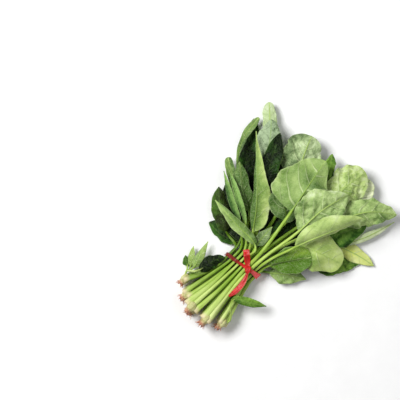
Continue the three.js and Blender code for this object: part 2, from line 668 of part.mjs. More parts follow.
function ringSolid() {
  const inner = STALK_RADIUS * STALK_SCALE.most + TIE_GAP;
  const shape = new THREE.Shape(bundleOutline(inner + TIE_THICKNESS));
  shape.holes.push(new THREE.Path(bundleOutline(inner)));
  const geometry = new THREE.ExtrudeGeometry(shape, { depth: TIE_WIDTH, bevelEnabled: false });
  geometry.translate(0, 0, -TIE_WIDTH / 2);
  // the shape's x and y become the bundle's y and z, and its depth the bundle's x, with the slant
  geometry.applyMatrix4(new THREE.Matrix4().set(-TIE_SLANT, 0, 1, 0, 1, 0, 0, 0, 0, 1, 0, 0, 0, 0, 0, 1));
  return solidFromGeometry(geometry);
}

function knotSolid() {
  const geometry = new THREE.IcosahedronGeometry(1, 1);
  geometry.scale(...KNOT_SIZE);
  geometry.translate(KNOT.x, KNOT.y, KNOT.z);
  return solidFromGeometry(geometry);
}

function tieEndSolid(end) {
  const [from, through, to] = end.points.map(vector);
  const bend = through.clone().multiplyScalar(2).addScaledVector(from, -0.5).addScaledVector(to, -0.5);
  const curve = new THREE.QuadraticBezierCurve3(from, bend, to);
  const rows = [];
  for (let i = 0; i <= TIE_END_STEPS; i += 1) {
    const u = i / TIE_END_STEPS;
    const side = new THREE.Vector3(0, 0, 1).cross(curve.getTangent(u)).normalize();
    const tapered = Math.max(0, (u - TIE_END_TAPER) / (1 - TIE_END_TAPER));
    const half = end.half * (1 - (1 - end.leftAtTip) * tapered);
    const points = [-1, 0, 1].map((t) => curve.getPoint(u).addScaledVector(side, t * half));
    const plain = points.map(() => TIE_THICKNESS / 2);
    rows.push({ fixed: false, stalk: true, points, above: plain, below: plain });
  }
  return bladeSolid(end, rows, drape(rows, TAIL_GAP));
}

function tieMesh() {
  let solid = ringSolid().add(knotSolid());
  TIE_ENDS.forEach((end) => { solid = solid.add(tieEndSolid(end)); });
  return toMesh(solid, 'tie', new THREE.MeshStandardMaterial({ color: TIE_COLOUR, roughness: 0.5 }));
}

// ---------------------------------------------------------------------------------------------
// The bunch
// ---------------------------------------------------------------------------------------------

const bunch = new THREE.Group();
Object.keys(PLANTS).forEach((plant) => {
  const material = new THREE.MeshStandardMaterial({ color: STALK_COLOUR, roughness: 0.5 });
  bunch.add(toMesh(plantMesh(plant), plant, material));
});
bunch.add(tieMesh());

// the origin is below the middle of the whole bunch's box, on the surface that it rests on
const box = new THREE.Box3().setFromObject(bunch);
bunch.position.set(-(box.min.x + box.max.x) / 2, -(box.min.y + box.max.y) / 2, -box.min.z);
bunch.updateMatrixWorld(true);

export default bunch;
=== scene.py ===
# The looks of a tied bunch of young spinach, lying on a pale floor and seen from above.
# Lengths in the tables and in the shape functions are millimetres, in the bunch's own frame: x runs
# along the stalks from the tie to the leaf tips, z is up, and the tie stands at x = 0. to_frame()
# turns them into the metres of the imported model.

import math
from types import SimpleNamespace

import bpy
import numpy as np
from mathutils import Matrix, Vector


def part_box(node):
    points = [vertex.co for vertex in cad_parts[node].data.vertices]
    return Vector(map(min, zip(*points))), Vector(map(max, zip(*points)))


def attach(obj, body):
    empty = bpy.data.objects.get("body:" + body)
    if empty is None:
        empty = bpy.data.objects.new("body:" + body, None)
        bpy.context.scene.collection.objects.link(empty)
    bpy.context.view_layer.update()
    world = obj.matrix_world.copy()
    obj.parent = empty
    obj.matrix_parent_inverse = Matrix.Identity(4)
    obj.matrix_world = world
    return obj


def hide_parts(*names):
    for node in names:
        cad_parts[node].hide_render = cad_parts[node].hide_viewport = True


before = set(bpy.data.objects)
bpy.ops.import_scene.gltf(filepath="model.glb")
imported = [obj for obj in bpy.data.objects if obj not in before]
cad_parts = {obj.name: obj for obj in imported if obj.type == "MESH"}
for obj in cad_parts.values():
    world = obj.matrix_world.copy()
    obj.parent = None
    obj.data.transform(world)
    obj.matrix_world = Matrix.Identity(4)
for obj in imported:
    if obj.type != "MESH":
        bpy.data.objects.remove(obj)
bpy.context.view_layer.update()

# ---- Driving dimensions, the same as the solids have ----

SLOT_PITCH = 5.5  # from stalk to stalk in the tie
SLOT_FLOOR = 5.2  # height of the lowest row there
STALK_RADIUS = 2.3  # at the tie
STALK_FOOT_RADIUS = 3.8  # at the crown
STALK_NECK_RADIUS = 1.7  # at the blade
STALK_STEP = 18  # from ring to ring, at the most 6 of them
STALK_END = 0.975  # where its last ring stands, short of the blade's foot
STALK_CORE = 0.55  # the share of its width that the pile counts
SCALE_START, SCALE_HALF = 0.62, 60  # a stalk's scale is start + half / 60
SCALE_LEAST, SCALE_MOST = 0.6, 1.12
CLOSER_AT_TIE = 1.5  # how a stalk's rings crowd towards the tie
TIE_STRAIGHT = 8.0  # how far the stalks run parallel on each side of it

CROWN_SPREAD_Y = 1.85  # over the spread of the stalks in the tie
CROWN_SPREAD_Z = 1.7
CROWN_FLOOR = 5.9  # height of the lowest crowns' middles
CROWN_REACH = 88.0  # from the tie to the middle crowns
CROWN_ARC = 0.012  # how the outer crowns fall back, per mm
CROWN_RADIUS = 5.6
FOOT_SPREAD = 1.3  # of a plant's stalks on its crown, over that in the tie
ROOT_RADIUS = 3.6
ROOT_LENGTH = 8.0
SPRIG_START = 9.0  # where a small leaf's stalk comes off the crown

BLADE_THICKNESS = 0.8
RIB_HEIGHT = 2.2  # at the blade's foot, out of the underside
RIB_END = 0.9  # where it runs out along the blade
RIB_COLUMNS = 0.2  # its points lie within this
FOOT_HALF = 2.4
TIP_HALF = 0.7
RUFFLE = 0.12  # wave height of a blade's edge, over half its width
RUFFLE_WAVES = 1.6  # waves along a blade
RUFFLE_STEP = 0.37  # how far it moves on from leaf to leaf
RUFFLE_APART = 1.9  # and between the two edges of a blade, rad
SMALL_HALF = 15  # blades narrower than this need fewer points
SMALL_COLUMNS = (-1, -0.25, 0, 0.25, 1)  # points across a blade, over half its width
LARGE_COLUMNS = (-1, -0.55, -0.12, 0, 0.12, 0.55, 1)
SMALL_ROWS, LARGE_ROWS = 5, 6

SAMPLE_STEP = 0.9
SURFACE = -0.3  # leaves sink this far, and are cut flat at 0
LAYER_GAP = 1.1  # clear height left between two layers
DRAPE_PASSES = 60
DRAPE_SPRING = 0.95  # the share of its neighbours' lift that a point takes on

TIE_GAP = 0.4
TIE_INSIDE = STALK_RADIUS * SCALE_MOST + TIE_GAP  # from a stalk's middle to the band
TIE_THICKNESS = 1.3
TIE_WIDTH = 6.0
TIE_SLANT = 0.2  # how far it runs back for each mm across the stalks
TIE_END_TAPER = 0.8  # where along a loose end its point begins
TAIL_GAP = 0.5  # between a loose end and what it lies on

# how the width of a blade goes with s^rise * (1 - s)^fall from its foot to its tip
OVATE = (0.6, 0.75)
ROUND = (0.5, 0.45)
LANCE = (0.75, 0.95)
BLUNT = (0.7, 0.35)
TAIL = (0.55, 1.3)
WIDE = (0.42, 0.7)
UPPER, UNDER = "upper", "under"

# The leaves from the bottom of the pile to its top: name, the stalk's column and row in the tie,
# base, middle and tip of the midrib, half the width, how much of it goes from the right side to the
# left, roll, fold, form and the face that looks up.
LEAVES = [
    ("F1", (-2, 0), (85, -38, 2), (112, -52, 2), (150, -70, 2), 20, 0, 0, 2, OVATE, UPPER),
    ("F3", (0, 0), (85, 2, 2), (118, 4, 2), (160, 8, 2), 20, 0, 0, 2, OVATE, UPPER),
    ("F6", (3, 0), (64, 61, 2), (104, 96, 2), (148, 126, 2), 16, -0.3, 0, 2, OVATE, UPPER),
    ("F2", (-1, 0), (90, -18, 2), (125, -26, 2), (165, -34, 2), 20, 0, 0, 2, OVATE, UPPER),
    ("F4", (1, 0), (88, 20, 2), (122, 32, 2), (160, 44, 2), 18, 0, 0, 2, OVATE, UPPER),
    ("F5", (2, 0), (85, 36, 2), (112, 54, 2), (145, 78, 2), 17, 0, 0, 2, OVATE, UPPER),
    ("A12", (-4, 0), (61, -56, 6), (86, -84, 8), (112, -109, 4), 15, 0, 0, -12, LANCE, UPPER),
    ("A11", (-3, 0), (99, -61, 8), (114, -91, 9), (122, -124, 4), 12, 0, 0, -10, LANCE, UNDER),
    ("D6", (4, 0), (16, 27, 9), (9, 47, 11), (9, 71, 6), 18, -0.5, 8, -16, WIDE, UPPER),
    ("F7", (-3, 1), (44, -33, 8), (66, -52, 8), (98, -80, 6), 17, 0, 0, 4, OVATE, UPPER),
    ("F8", (-1, 1), (44, -8, 9), (71, -13, 9), (112, -20, 8), 19, 0, 0, 4, OVATE, UPPER),
    ("F9", (0, 1), (46, 6, 9), (72, 14, 9), (116, 28, 8), 19, 0, 0, 4, OVATE, UPPER),
    ("F10", (2, 1), (22, 20, 8), (42, 56, 8), (64, 92, 8), 17, 0, 0, 4, OVATE, UPPER),
    ("C3", (3, 1), (91, 101, 14), (120, 117, 16), (153, 122, 10), 5, 0, 10, 20, BLUNT, UNDER),
    ("D5", (4, 1), (16, 47, 10), (30, 71, 10), (51, 95, 5), 12, 0, 8, -10, OVATE, UPPER),
    ("A7", (-2, 1), (107, -71, 12), (141, -89, 14), (182, -102, 8), 5, 0, -8, -8, LANCE, UNDER),
    ("A10", (-4, 1), (18, -32, 12), (31, -49, 12), (46, -73, 6), 12, 0, 0, -8, LANCE, UNDER),
    ("B2", (1, 1), (132, 30, 28), (155, 44, 34), (184, 56, 24), 29, 0.1, 0, -16, ROUND, UNDER),
    ("C1", (2, 2), (133, 82, 18), (156, 105, 18), (177, 127, 12), 10, 0, 0, -10, ROUND, UNDER),
    ("B3", (0, 2), (146, 1, 24), (168, 9, 24), (187, 20, 16), 9, 0, 0, 20, OVATE, UPPER),
    ("A6", (-2, 2), (97, -50, 20), (126, -64, 22), (157, -76, 16), 17, 0, 0, 6, OVATE, UPPER),
    ("B1b", (-1, 2), (149, -43, 24), (171, -43, 24), (198, -39, 16), 17, 0, 0, -10, ROUND, UNDER),
    ("D2", (4, 2), (50, 49, 18), (68, 83, 20), (87, 114, 16), 7, 0, 15, 30, BLUNT, UNDER),
    ("C2", (2, 3), (113, 73, 28), (141, 91, 30), (162, 109, 24), 17, 0, 0, -8, OVATE, UPPER),
    ("C5", (1, 2), (84, 45, 30), (118, 68, 34), (157, 88, 28), 14, 0, 0, 6, OVATE, UPPER),
    ("D1", (3, 2), (55, 43, 22), (72, 72, 28), (93, 99, 24), 11, 0, 10, -18, OVATE, UNDER),
    ("D3a", (3, 3), (35, 40, 28), (52, 73, 33), (70, 105, 28), 5, 0, 12, 36, LANCE, UPPER),
    ("D3b", (2, 4), (41, 36, 32), (59, 68, 38), (75, 100, 34), 5, 0, 0, 36, LANCE, UPPER),
    ("B1a", (-1, 3), (140, -24, 34), (166, -22, 38), (200, -28, 26), 26, 0, 0, -14, ROUND, UNDER),
    ("A5", (-2, 3), (128, -47, 34), (164, -65, 38), (189, -96, 24), 20, 0, 0, -22, OVATE, UNDER),
    ("A8", (-3, 2), (72, -37, 28), (82, -59, 34), (93, -91, 22), 26, 0, 0, -14, ROUND, UNDER),
    ("A9", (-4, 2), (24, -24, 26), (47, -38, 32), (71, -55, 26), 18, 0, -5, -8, BLUNT, UNDER),
    ("C4", (1, 3), (41, 23, 34), (80, 54, 44), (136, 112, 38), 13, -0.5, 0, -18, TAIL, UNDER),
    ("A4", (0, 3), (79, 2, 36), (100, 25, 42), (134, 46, 38), 19, 0, 0, -10, OVATE, UNDER),
    ("D7", (0, 4), (31, 6, 34), (43, 8, 38), (63, 9, 36), 8, 0, 0, 12, LANCE, UNDER),
    ("D4", (1, 4), (29, 5, 36), (32, 45, 44), (35, 86, 38), 8, 0, 0, 30, LANCE, UNDER),
    ("A1", (-1, 4), (94, 6, 46), (132, 14, 56), (172, 21, 48), 35, 0.22, 0, -8, WIDE, UNDER),
    ("A2", (-2, 4), (83, -19, 46), (121, -20, 56), (161, -31, 46), 28, 0, 0, -8, OVATE, UNDER),
    ("A3", (-3, 3), (66, -30, 42), (107, -46, 52), (153, -66, 46), 13, 0.75, 10, -24, OVATE, UNDER),
    # small leaves low on a plant, whose stalks stay out of the tie
    ("E4c", None, (-52, 50, 6), (-49, 56, 6), (-44, 62, 4), 5, 0, 0, -10, LANCE, UPPER),
    ("E4b", None, (-50, 46, 9), (-41, 54, 10), (-28, 63, 7), 5, 0, 0, 8, LANCE, UNDER),
    ("E4a", None, (-48, 43, 12), (-34, 47, 15), (-10, 54, 12), 6, 0, 0, -10, LANCE, UNDER),
    ("E2", None, (-45, 36, 15), (-25, 32, 18), (-9, 24, 14), 9, 0, 0, -10, OVATE, UPPER),
    ("E1", None, (-42, -22, 27), (-29, -39, 28), (-16, -60, 20), 6, 0, 0, 8, LANCE, UPPER),
]

# The finish of a leaf: tone (0 dark, 1 pale; above 1 it is painted light that pales a leaf lying in shade),
# how much paler its left half is (painted light and shade of the half turned to or from the lamp), warmth
# (-1 grey, which is partly painted sheen, 0 green, 1 yellow) and crinkle (0 flat, 1 blistered). A leaf that
# isn't named is one of the lowest, painted dark as the shade between the leaves.
LOWEST_PAINTED_DARK = (0.0, 0.0, 0.0, 0.5)
FINISH = {
    "A1": (0.52, 0.12, 0.05, 0.14), "A2": (0.76, 0.1, -0.1, 1), "A3": (0.95, 0, 0.2, 0.15),
    "A4": (0.05, -0.2, 0, 0.4), "A5": (0.7, 0.1, 0, 0.8), "A6": (0.75, 0.2, 0, 0.6),
    "A7": (1.5, 0, 0.05, 0.2), "A8": (0.9, 0.15, 0.35, 0.15), "A9": (-0.08, 0.28, 1, 0.1),
    "A10": (0.6, -0.2, 0, 0.6), "A11": (1.15, 0, 1, 0.1), "A12": (0.75, 0, 0.2, 1.2),
    "B1a": (0.92, 0, 0.2, 1.35), "B1b": (1.8, 0, 0.3, 0.6), "B2": (0.72, -0.3, -0.6, 1.1),
    "B3": (0.9, 0.2, 0.1, 1.4), "C1": (1, 0, -0.6, 0.6), "C2": (0.95, 0.25, -0.8, 1),
    "C3": (0.34, 0.15, -0.1, 0.4), "C4": (0.28, -0.8, 0.25, 0.3), "C5": (0, 0, 0, 0.3),
    "D1": (-0.1, 0.25, 0.1, 0.3), "D2": (0.15, 0.2, 0.1, 0.5), "D3a": (0.85, -0.3, -0.2, 0.3),
    "D3b": (0.9, -0.3, -0.2, 0.3), "D4": (0.5, 0.3, 0, 0.2), "D5": (0.15, 0.25, 0.4, 0.5),
    "D6": (0.22, 0.4, 0, 0.5), "D7": (0.3, 0, -0.5, 0.6), "E1": (0.74, 0.25, 0.3, 0.4),
    "E2": (0, 0, 0, 0.8), "E4a": (0.6, 0, 0.2, 0.2), "E4b": (0.7, 0, 0.4, 0.2),
    "E4c": (0.5, 0, 0.2, 0.2),
}

# which leaves grow from each crown
CROWN_LEAVES = (
    "A12 A11 A10 F7", "A9 A8 A3 E1", "F1 F2 A7 F8", "A6 B1b A5 B1a", "F3 F4 F9 B2", "B3 C5 A4 C4",
    "F5 F6 F10 C3", "C1 D1 C2 D3a", "D6 D5 D2 E2 E4a E4b E4c", "A2 A1", "D7 D4 D3b",
)
PLANTS = {f"plant_{number:02}": names.split() for number, names in enumerate(CROWN_LEAVES, 1)}

KNOT = (1.0, -9.0, 32.2)
# each loose end: three points of its middle line, half its width and how much of it is left at its tip
TIE_ENDS = (
    ((0, -9, 31.5), (-19, -16.5, 32), (-41, -15, 30), 3.4, 0.4),
    ((2, -8, 31.5), (10, 2, 32), (18, 12, 33), 4.2, 1.0),
)

# ---- Short ways with rows of points ----

UP = np.array([0.0, 0.0, 1.0])


def unit(rows):
    return rows / np.maximum(np.linalg.norm(rows, axis=-1, keepdims=True), 1e-9)


def mix(start, end, share):
    return start + (end - start) * share


def ease(low, high, value):
    """Goes smoothly from 0 at low to 1 at high."""
    x = np.clip((value - low) / (high - low), 0, 1)
    return x * x * (3 - 2 * x)


def hermite(start, start_slope, end, end_slope, u):
    u = np.atleast_1d(u)[:, None]
    v = 1 - u
    return (start * v * v * (1 + 2 * u) + end * u * u * (3 - 2 * u)
            + start_slope * v * v * u - end_slope * u * u * v)


def through(knots, values, where):
    """A smooth curve through rows of values at knots, read at where."""
    step = np.diff(knots)
    rate = np.diff(values, axis=0) / step[:, None]
    slope = np.empty_like(values)
    slope[0], slope[-1] = rate[0], rate[-1]
    share = (step[1:] / (step[1:] + step[:-1]))[:, None]
    slope[1:-1] = rate[:-1] * share + rate[1:] * (1 - share)
    i = np.clip(np.searchsorted(knots, where, side="right") - 1, 0, len(knots) - 2)
    u = np.clip((where - knots[i]) / step[i], 0, 1)
    width = step[i][:, None]
    return hermite(values[i], slope[i] * width, values[i + 1], slope[i + 1] * width, u)


def lengths(points):
    """How far along a line each of its points is."""
    return np.concatenate([[0], np.cumsum(np.linalg.norm(np.diff(points, axis=0), axis=1))])


def beside(way, far):
    """Steps along each row's way, as far as its columns say."""
    return way[:, None] * far[..., None]


def frame_along(centre, up=UP):
    """The ways sideways and upwards at each point of a line."""
    along = unit(np.gradient(centre, axis=0))
    side = unit(np.cross(up, along))
    return side, np.cross(along, side)


def normals(grid):
    padded = np.pad(grid, ((1, 1), (1, 1), (0, 0)), mode="edge")
    return unit(np.cross(padded[2:, 1:-1] - padded[:-2, 1:-1], padded[1:-1, 2:] - padded[1:-1, :-2]))


def circle(count):
    return 2 * math.pi * np.arange(count) / count


def triples(a, b, c):
    return np.stack(np.broadcast_arrays(a, b, c), axis=-1)


def opened(s):
    """How open a blade is: 0 at its foot, 1 halfway and 0 at its tip."""
    return np.sqrt(np.clip(np.sin(np.pi * s), 0, 1))


# ---- Places of the stalks and crowns ----

def slot_place(slot, x):
    return np.array([x, slot[0] * SLOT_PITCH, SLOT_FLOOR + slot[1] * SLOT_PITCH])


slots = {row[0]: row[1] for row in LEAVES if row[1]}


def cell_middle(names):
    """The middle of a plant's stalks in the tie."""
    return np.mean([slot_place(slots[name], 0) for name in names if name in slots], axis=0)


cells = {plant: cell_middle(names) for plant, names in PLANTS.items()}
lowest_cell = min(cell[2] for cell in cells.values())


def crown_place(plant):
    _, y, z = cells[plant]
    y = y * CROWN_SPREAD_Y
    return np.array([CROWN_ARC * y * y - CROWN_REACH, y, CROWN_FLOOR + (z - lowest_cell) * CROWN_SPREAD_Z])


def frame_shift():
    """Where the bunch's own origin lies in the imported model, in mm, from two of its nodes."""
    tie_side = min(slot[0] for slot in slots.values()) * SLOT_PITCH - TIE_INSIDE - TIE_THICKNESS
    root_end = crown_place("plant_05")[0] - ROOT_LENGTH
    return np.array([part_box("plant_05")[0][0] * 1000 - root_end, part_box("tie")[0][1] * 1000 - tie_side, 0])


SHIFT = frame_shift()


def to_frame(points):
    return (np.asarray(points) + SHIFT) / 1000


# ---- The line and the middle sheet of a leaf ----

SHEET_STEP = 0.01  # how far along the blade its direction is read
LEAVES_CROWN = 1.1  # how far a stalk is turned from level to straight there
ENTERS_TIE = 0.5  # and here


class Leaf:
    """One leaf: its row of the table, and the line from its crown to its tip."""

    def __init__(self, row, index, plant):
        self.name, self.slot, base, middle, tip, self.half, self.lean, roll, fold, self.form, self.face = row
        # tones above 1, the paler half and grey warmth carry painted light, shade and sheen
        self.tone, self.left_tone, self.warmth, self.crinkle = FINISH.get(self.name, LOWEST_PAINTED_DARK)
        self.base, self.middle, self.tip = (np.array(point, float) for point in (base, middle, tip))
        self.roll, self.fold = math.radians(roll), math.radians(fold)
        self.index = index
        self.scale = min(max(SCALE_START + self.half / SCALE_HALF, SCALE_LEAST), SCALE_MOST)
        self.small = self.half * (1 + abs(self.lean)) < SMALL_HALF
        self.columns = np.array(SMALL_COLUMNS if self.small else LARGE_COLUMNS)
        self.hidden = self.name.startswith("F")
        self.draw_line(crown_place(plant), cells[plant])

    def draw_line(self, crown, cell):
        if self.slot:
            self.enter = slot_place(self.slot, -TIE_STRAIGHT)
            self.start = slot_place(self.slot, TIE_STRAIGHT)
            self.foot = crown + (slot_place(self.slot, 0) - cell) * (0, FOOT_SPREAD, FOOT_SPREAD)
        else:
            self.start = crown + (SPRIG_START, math.copysign(CROWN_RADIUS, self.base[1]), 0)
            self.foot = self.enter = crown
        reach = np.linalg.norm(self.base - self.start)
        way = unit(self.middle - self.start)
        self.start_slope = np.array([reach, 0, 0])
        self.stalk_end = way * reach
        self.base_slope = way * np.linalg.norm(self.middle - self.base)
        self.middle_slope = (self.tip - self.base) * 0.5
        self.tip_slope = (self.tip - self.middle) * 1.5 - self.middle_slope * 0.5

    def stalk_line(self, u):
        return hermite(self.start, self.start_slope, self.base, self.stalk_end, u)

    def blade_line(self, s):
        s = np.atleast_1d(s)
        first = hermite(self.base, self.base_slope, self.middle, self.middle_slope, s * 2)
        last = hermite(self.middle, self.middle_slope, self.tip, self.tip_slope, s * 2 - 1)
        return np.where((s < 0.5)[:, None], first, last)

    def whole_line(self, places):
        """Points of the leaf's line: its crown is 0, the tie 1 to 2, the blade's foot 3 and its tip 4."""
        return np.concatenate([self.line_point(place) for place in places])

    def line_point(self, place):
        if place < 1:
            reach = self.enter - self.foot
            level = np.array([np.linalg.norm(reach), 0, 0])
            slopes = mix(level, reach, LEAVES_CROWN), mix(level, reach, ENTERS_TIE)
            return hermite(self.foot, slopes[0], self.enter, slopes[1], place)
        if place < 2:
            return mix(self.enter, self.start, place - 1)[None]
        return self.stalk_line(place - 2) if place < 3 else self.blade_line(place - 3)

    def half_width(self, s):
        rise, fall = self.form
        peak = rise / (rise + fall)
        shape = s ** rise * (1 - s) ** fall / (peak ** rise * (1 - peak) ** fall)
        return np.maximum(self.half * shape, mix(FOOT_HALF * self.scale, TIP_HALF, s))

    def sheet(self, s, t):
        """Points of the blade's middle sheet: s goes from its foot to its tip, and t from side to side."""
        last, following = np.maximum(s - SHEET_STEP, 0), np.minimum(s + SHEET_STEP, 1)
        along = unit(self.blade_line(following) - self.blade_line(last))
        level = unit(np.cross(UP, along))
        open_ = opened(s)[:, None]
        turn = -self.roll * open_
        side = level * np.cos(turn) + np.cross(along, level) * np.sin(turn)
        rise = unit(np.cross(along, side))
        turns = RUFFLE_WAVES * s[:, None] + RUFFLE_STEP * self.index
        wave = np.sin(2 * np.pi * turns + np.where(t < 0, RUFFLE_APART, 0))
        size = np.abs(t)
        width = self.half_width(s)[:, None]
        height = (size * math.sin(self.fold) * (0.6 + 0.4 * size) + RUFFLE * wave * t * t) * open_
        across = t * width * (1 + self.lean * np.sign(t)) * np.cos(self.fold * open_)
        return self.blade_line(s)[:, None] + beside(side, across) + beside(rise, width * height)

    def rib_height(self, s):
        return RIB_HEIGHT * self.scale * np.maximum(0, 1 - s / RIB_END)


# ---- Laying the leaves on one another, as the solids are laid ----

class HeightMap:
    """How high what already lies there comes, in square cells."""

    def __init__(self, cell, x, y, columns, rows):
        self.cell, self.x, self.y, self.columns, self.rows = cell, x, y, columns, rows
        self.tops = np.zeros(columns * rows)

    def cells(self, x, y):
        column = np.clip(np.floor((x - self.x) / self.cell).astype(int), 0, self.columns - 1)
        row = np.clip(np.floor((y - self.y) / self.cell).astype(int), 0, self.rows - 1)
        return row * self.columns + column

    def read(self, x, y):
        return self.tops[self.cells(x, y)]

    def lay(self, x, y, tops):
        """Raises the cells at and round each place to its top."""
        for dx in (-0.5, 0, 0.5):
            for dy in (-0.5, 0, 0.5):
                np.maximum.at(self.tops, self.cells(x + dx * self.cell, y + dy * self.cell), tops)


pile = HeightMap(cell=1.5, x=-130, y=-150, columns=250, rows=210)


def coarse_rows(leaf):
    """The rows of points that a leaf is laid by, where they stand along it, and their sizes."""
    places, radii = [1.0, 2.0], [STALK_RADIUS, STALK_RADIUS]
    if leaf.slot:
        places, radii = [0.0] + places, [STALK_FOOT_RADIUS] + radii
    fixed = len(places)
    steps = min(max(math.floor(np.linalg.norm(leaf.base - leaf.start) / STALK_STEP + 0.5), 2), 6)
    for k in range(1, steps + 1):
        u = STALK_END * (k / steps) ** CLOSER_AT_TIE
        places.append(2 + u)
        radii.append(mix(STALK_RADIUS, STALK_NECK_RADIUS, u))
    middle = leaf.whole_line(places)
    radius = np.array(radii)[:, None] * leaf.scale
    padded = np.pad(middle, ((1, 1), (0, 0)), mode="edge")
    side = unit(np.cross(UP, padded[2:] - padded[:-2]))
    stalk = middle[:, None] + beside(side, leaf.columns * radius * STALK_CORE)
    blade_steps = SMALL_ROWS if leaf.small else LARGE_ROWS
    s = (1 - np.cos(np.pi * np.arange(blade_steps + 1) / blade_steps)) / 2
    rib = np.where(np.abs(leaf.columns) < RIB_COLUMNS, leaf.rib_height(s)[:, None], 0)
    above, below = (rib, 0 * rib) if leaf.face == UNDER else (0 * rib, rib)
    round_stalk = np.repeat(radius, len(leaf.columns), axis=1)
    return SimpleNamespace(
        points=np.concatenate([stalk, leaf.sheet(s, leaf.columns[None, :])]),
        above=np.vstack([round_stalk, BLADE_THICKNESS / 2 + above]),
        below=np.vstack([round_stalk, BLADE_THICKNESS / 2 + below]),
        along=np.concatenate([places, 3 + s]),
        fixed=fixed,
        stalk=len(places),
    )


def samples(rows, lift):
    """Points all over a leaf's rows, with the four corners that they lie between."""
    for i in range(rows.points.shape[0] - 1):
        for j in range(rows.points.shape[1] - 1):
            corner = (np.array([i, i + 1, i, i + 1]), np.array([j, j, j + 1, j + 1]))
            p = rows.points[corner]
            long = max(np.linalg.norm(p[0] - p[1]), np.linalg.norm(p[2] - p[3]))
            wide = max(np.linalg.norm(p[0] - p[2]), np.linalg.norm(p[1] - p[3]))
            u = np.linspace(0, 1, math.ceil(long / SAMPLE_STEP) + 1)[None, :]
            v = np.linspace(0, 1, math.ceil(wide / SAMPLE_STEP) + 1)[:, None]
            weight = np.stack([(1 - u) * (1 - v), u * (1 - v), (1 - u) * v, u * v]).reshape(4, -1)
            x, y, z = p.T @ weight
            above, below = rows.above[corner] @ weight, rows.below[corner] @ weight
            yield corner, x, y, z + lift[corner] @ weight, above, below


def drape(rows):
    """How far each point of a leaf's rows is lifted to lie clear of the pile."""
    need = np.zeros(rows.points.shape[:2])
    for corner, x, y, z, _, under in samples(rows, np.zeros_like(need)):
        floor = pile.read(x, y)
        lack = np.max(np.where(floor > 0, floor + LAYER_GAP, SURFACE) - (z - under))
        need[corner] = np.maximum(need[corner], lack)
    need = np.maximum(need, 0).tolist()
    lift = [list(row) for row in need]
    last_row, last_column = len(need) - 1, len(need[0]) - 1

    def keep_level(i):
        """A row of the stalk moves as one, and not at all at its crown and in the tie."""
        if i < rows.stalk:
            lift[i] = [0.0 if i < rows.fixed else max(lift[i])] * (last_column + 1)

    for i in range(len(lift)):
        keep_level(i)
    for _ in range(DRAPE_PASSES):
        for i in range(rows.fixed, len(lift)):
            before, row, after = lift[i - 1], lift[i], lift[min(i + 1, last_row)]
            for j in range(last_column + 1):
                even = (before[j] + after[j] + row[max(j - 1, 0)] + row[min(j + 1, last_column)]) / 4
                row[j] = max(need[i][j], DRAPE_SPRING * even)
            keep_level(i)
    return np.array(lift)


def add_to_pile(rows, lift):
    for _, x, y, z, over, _ in samples(rows, lift):
        pile.lay(x, y, z + over)


# ---- The finer heap that the fine blades settle on ----

HEAP_GAP = 0.25  # clear height left over what lies beneath
SETTLING = (0.97, 40, 3)  # spring, passes and softening passes of a blade that is lifted

heap = HeightMap(cell=1.0, x=-140, y=-160, columns=400, rows=340)


def around(field):
    """The mean of the neighbours of each point of a line or a grid."""
    wide = np.pad(field, 1, mode="edge")
    if field.ndim == 1:
        return (wide[:-2] + wide[2:]) / 2
    return (wide[:-2, 1:-1] + wide[2:, 1:-1] + wide[1:-1, :-2] + wide[1:-1, 2:]) / 4


def spread_lift(need, spring, passes, soften):
    """Lifts every point as far as it needs, and those round about it smoothly with it."""
    lift = need
    for _ in range(passes):
        lift = np.maximum(need, spring * around(lift))
    for _ in range(soften):
        lift = (around(lift) + lift) / 2
    return lift


def settle_on_heap(points, below, hold):
    """Lifts a fine sheet clear of what lies under it. hold is 0 where it may not move."""
    floor = heap.read(points[..., 0], points[..., 1])
    lack = np.maximum(floor + np.where(floor > 0, HEAP_GAP, 0) + below - points[..., 2], 0)
    lift = spread_lift(lack, *SETTLING)
    points[..., 2] = np.maximum(points[..., 2] + lift * hold, below)


# ---- Meshes ----

LEAF_UPPER, LEAF_UNDER, STALK, CROWN = range(4)
NOTHING = (0, 0, 0)


class Skin:
    """One mesh of grids and tubes, with what the materials read at each point."""

    def __init__(self):
        self.points, self.faces, self.kinds = [], [], []
        self.told = {"flat": [], "vein": [], "look": []}
        self.count = 0

    def add_points(self, points, flat, vein=NOTHING, look=NOTHING):
        """Adds points, and gives the number of the first."""
        points = np.asarray(points, float)
        for store, values in zip((self.points, *self.told.values()), (points, flat, vein, look)):
            store.append(np.broadcast_to(values, points.shape).reshape(-1, 3))
        first = self.count
        self.count += points.size // 3
        return first

    def add_faces(self, faces, kind):
        self.faces.append(faces)
        self.kinds.append(np.full(len(faces), kind))

    def add_tube(self, rings, ends, kind, flat, end_flat, vein=NOTHING, look=NOTHING):
        """A tube through rings of points, with a fan to each end point, or closed if ends is None."""
        count, sides = rings.shape[:2]
        rings[..., 2] = np.maximum(rings[..., 2], 0)
        first = self.add_points(rings, flat, vein, look)
        self.add_faces(grid_faces(first, count, sides, flip=True, wrap=True, closed=ends is None), kind)
        if ends is None:
            return
        tips = self.add_points(ends, end_flat, NOTHING, look)
        ring = first + np.arange(sides)
        self.add_faces(fan(tips, ring, flip=True), kind)
        self.add_faces(fan(tips + 1, ring + (count - 1) * sides), kind)

    def build(self, name, materials):
        faces = [face for group in self.faces for face in group.tolist()]
        mesh = bpy.data.meshes.new(name)
        mesh.from_pydata(to_frame(np.concatenate(self.points)), [], faces)
        mesh.polygons.foreach_set("material_index", np.concatenate(self.kinds))
        mesh.shade_smooth()
        for key, store in self.told.items():
            attribute = mesh.attributes.new(key, "FLOAT_VECTOR", "POINT")
            attribute.data.foreach_set("vector", np.concatenate(store).ravel())
        for material in materials:
            mesh.materials.append(material)
        piece = bpy.data.objects.new(name, mesh)
        bpy.context.scene.collection.objects.link(piece)
        return piece


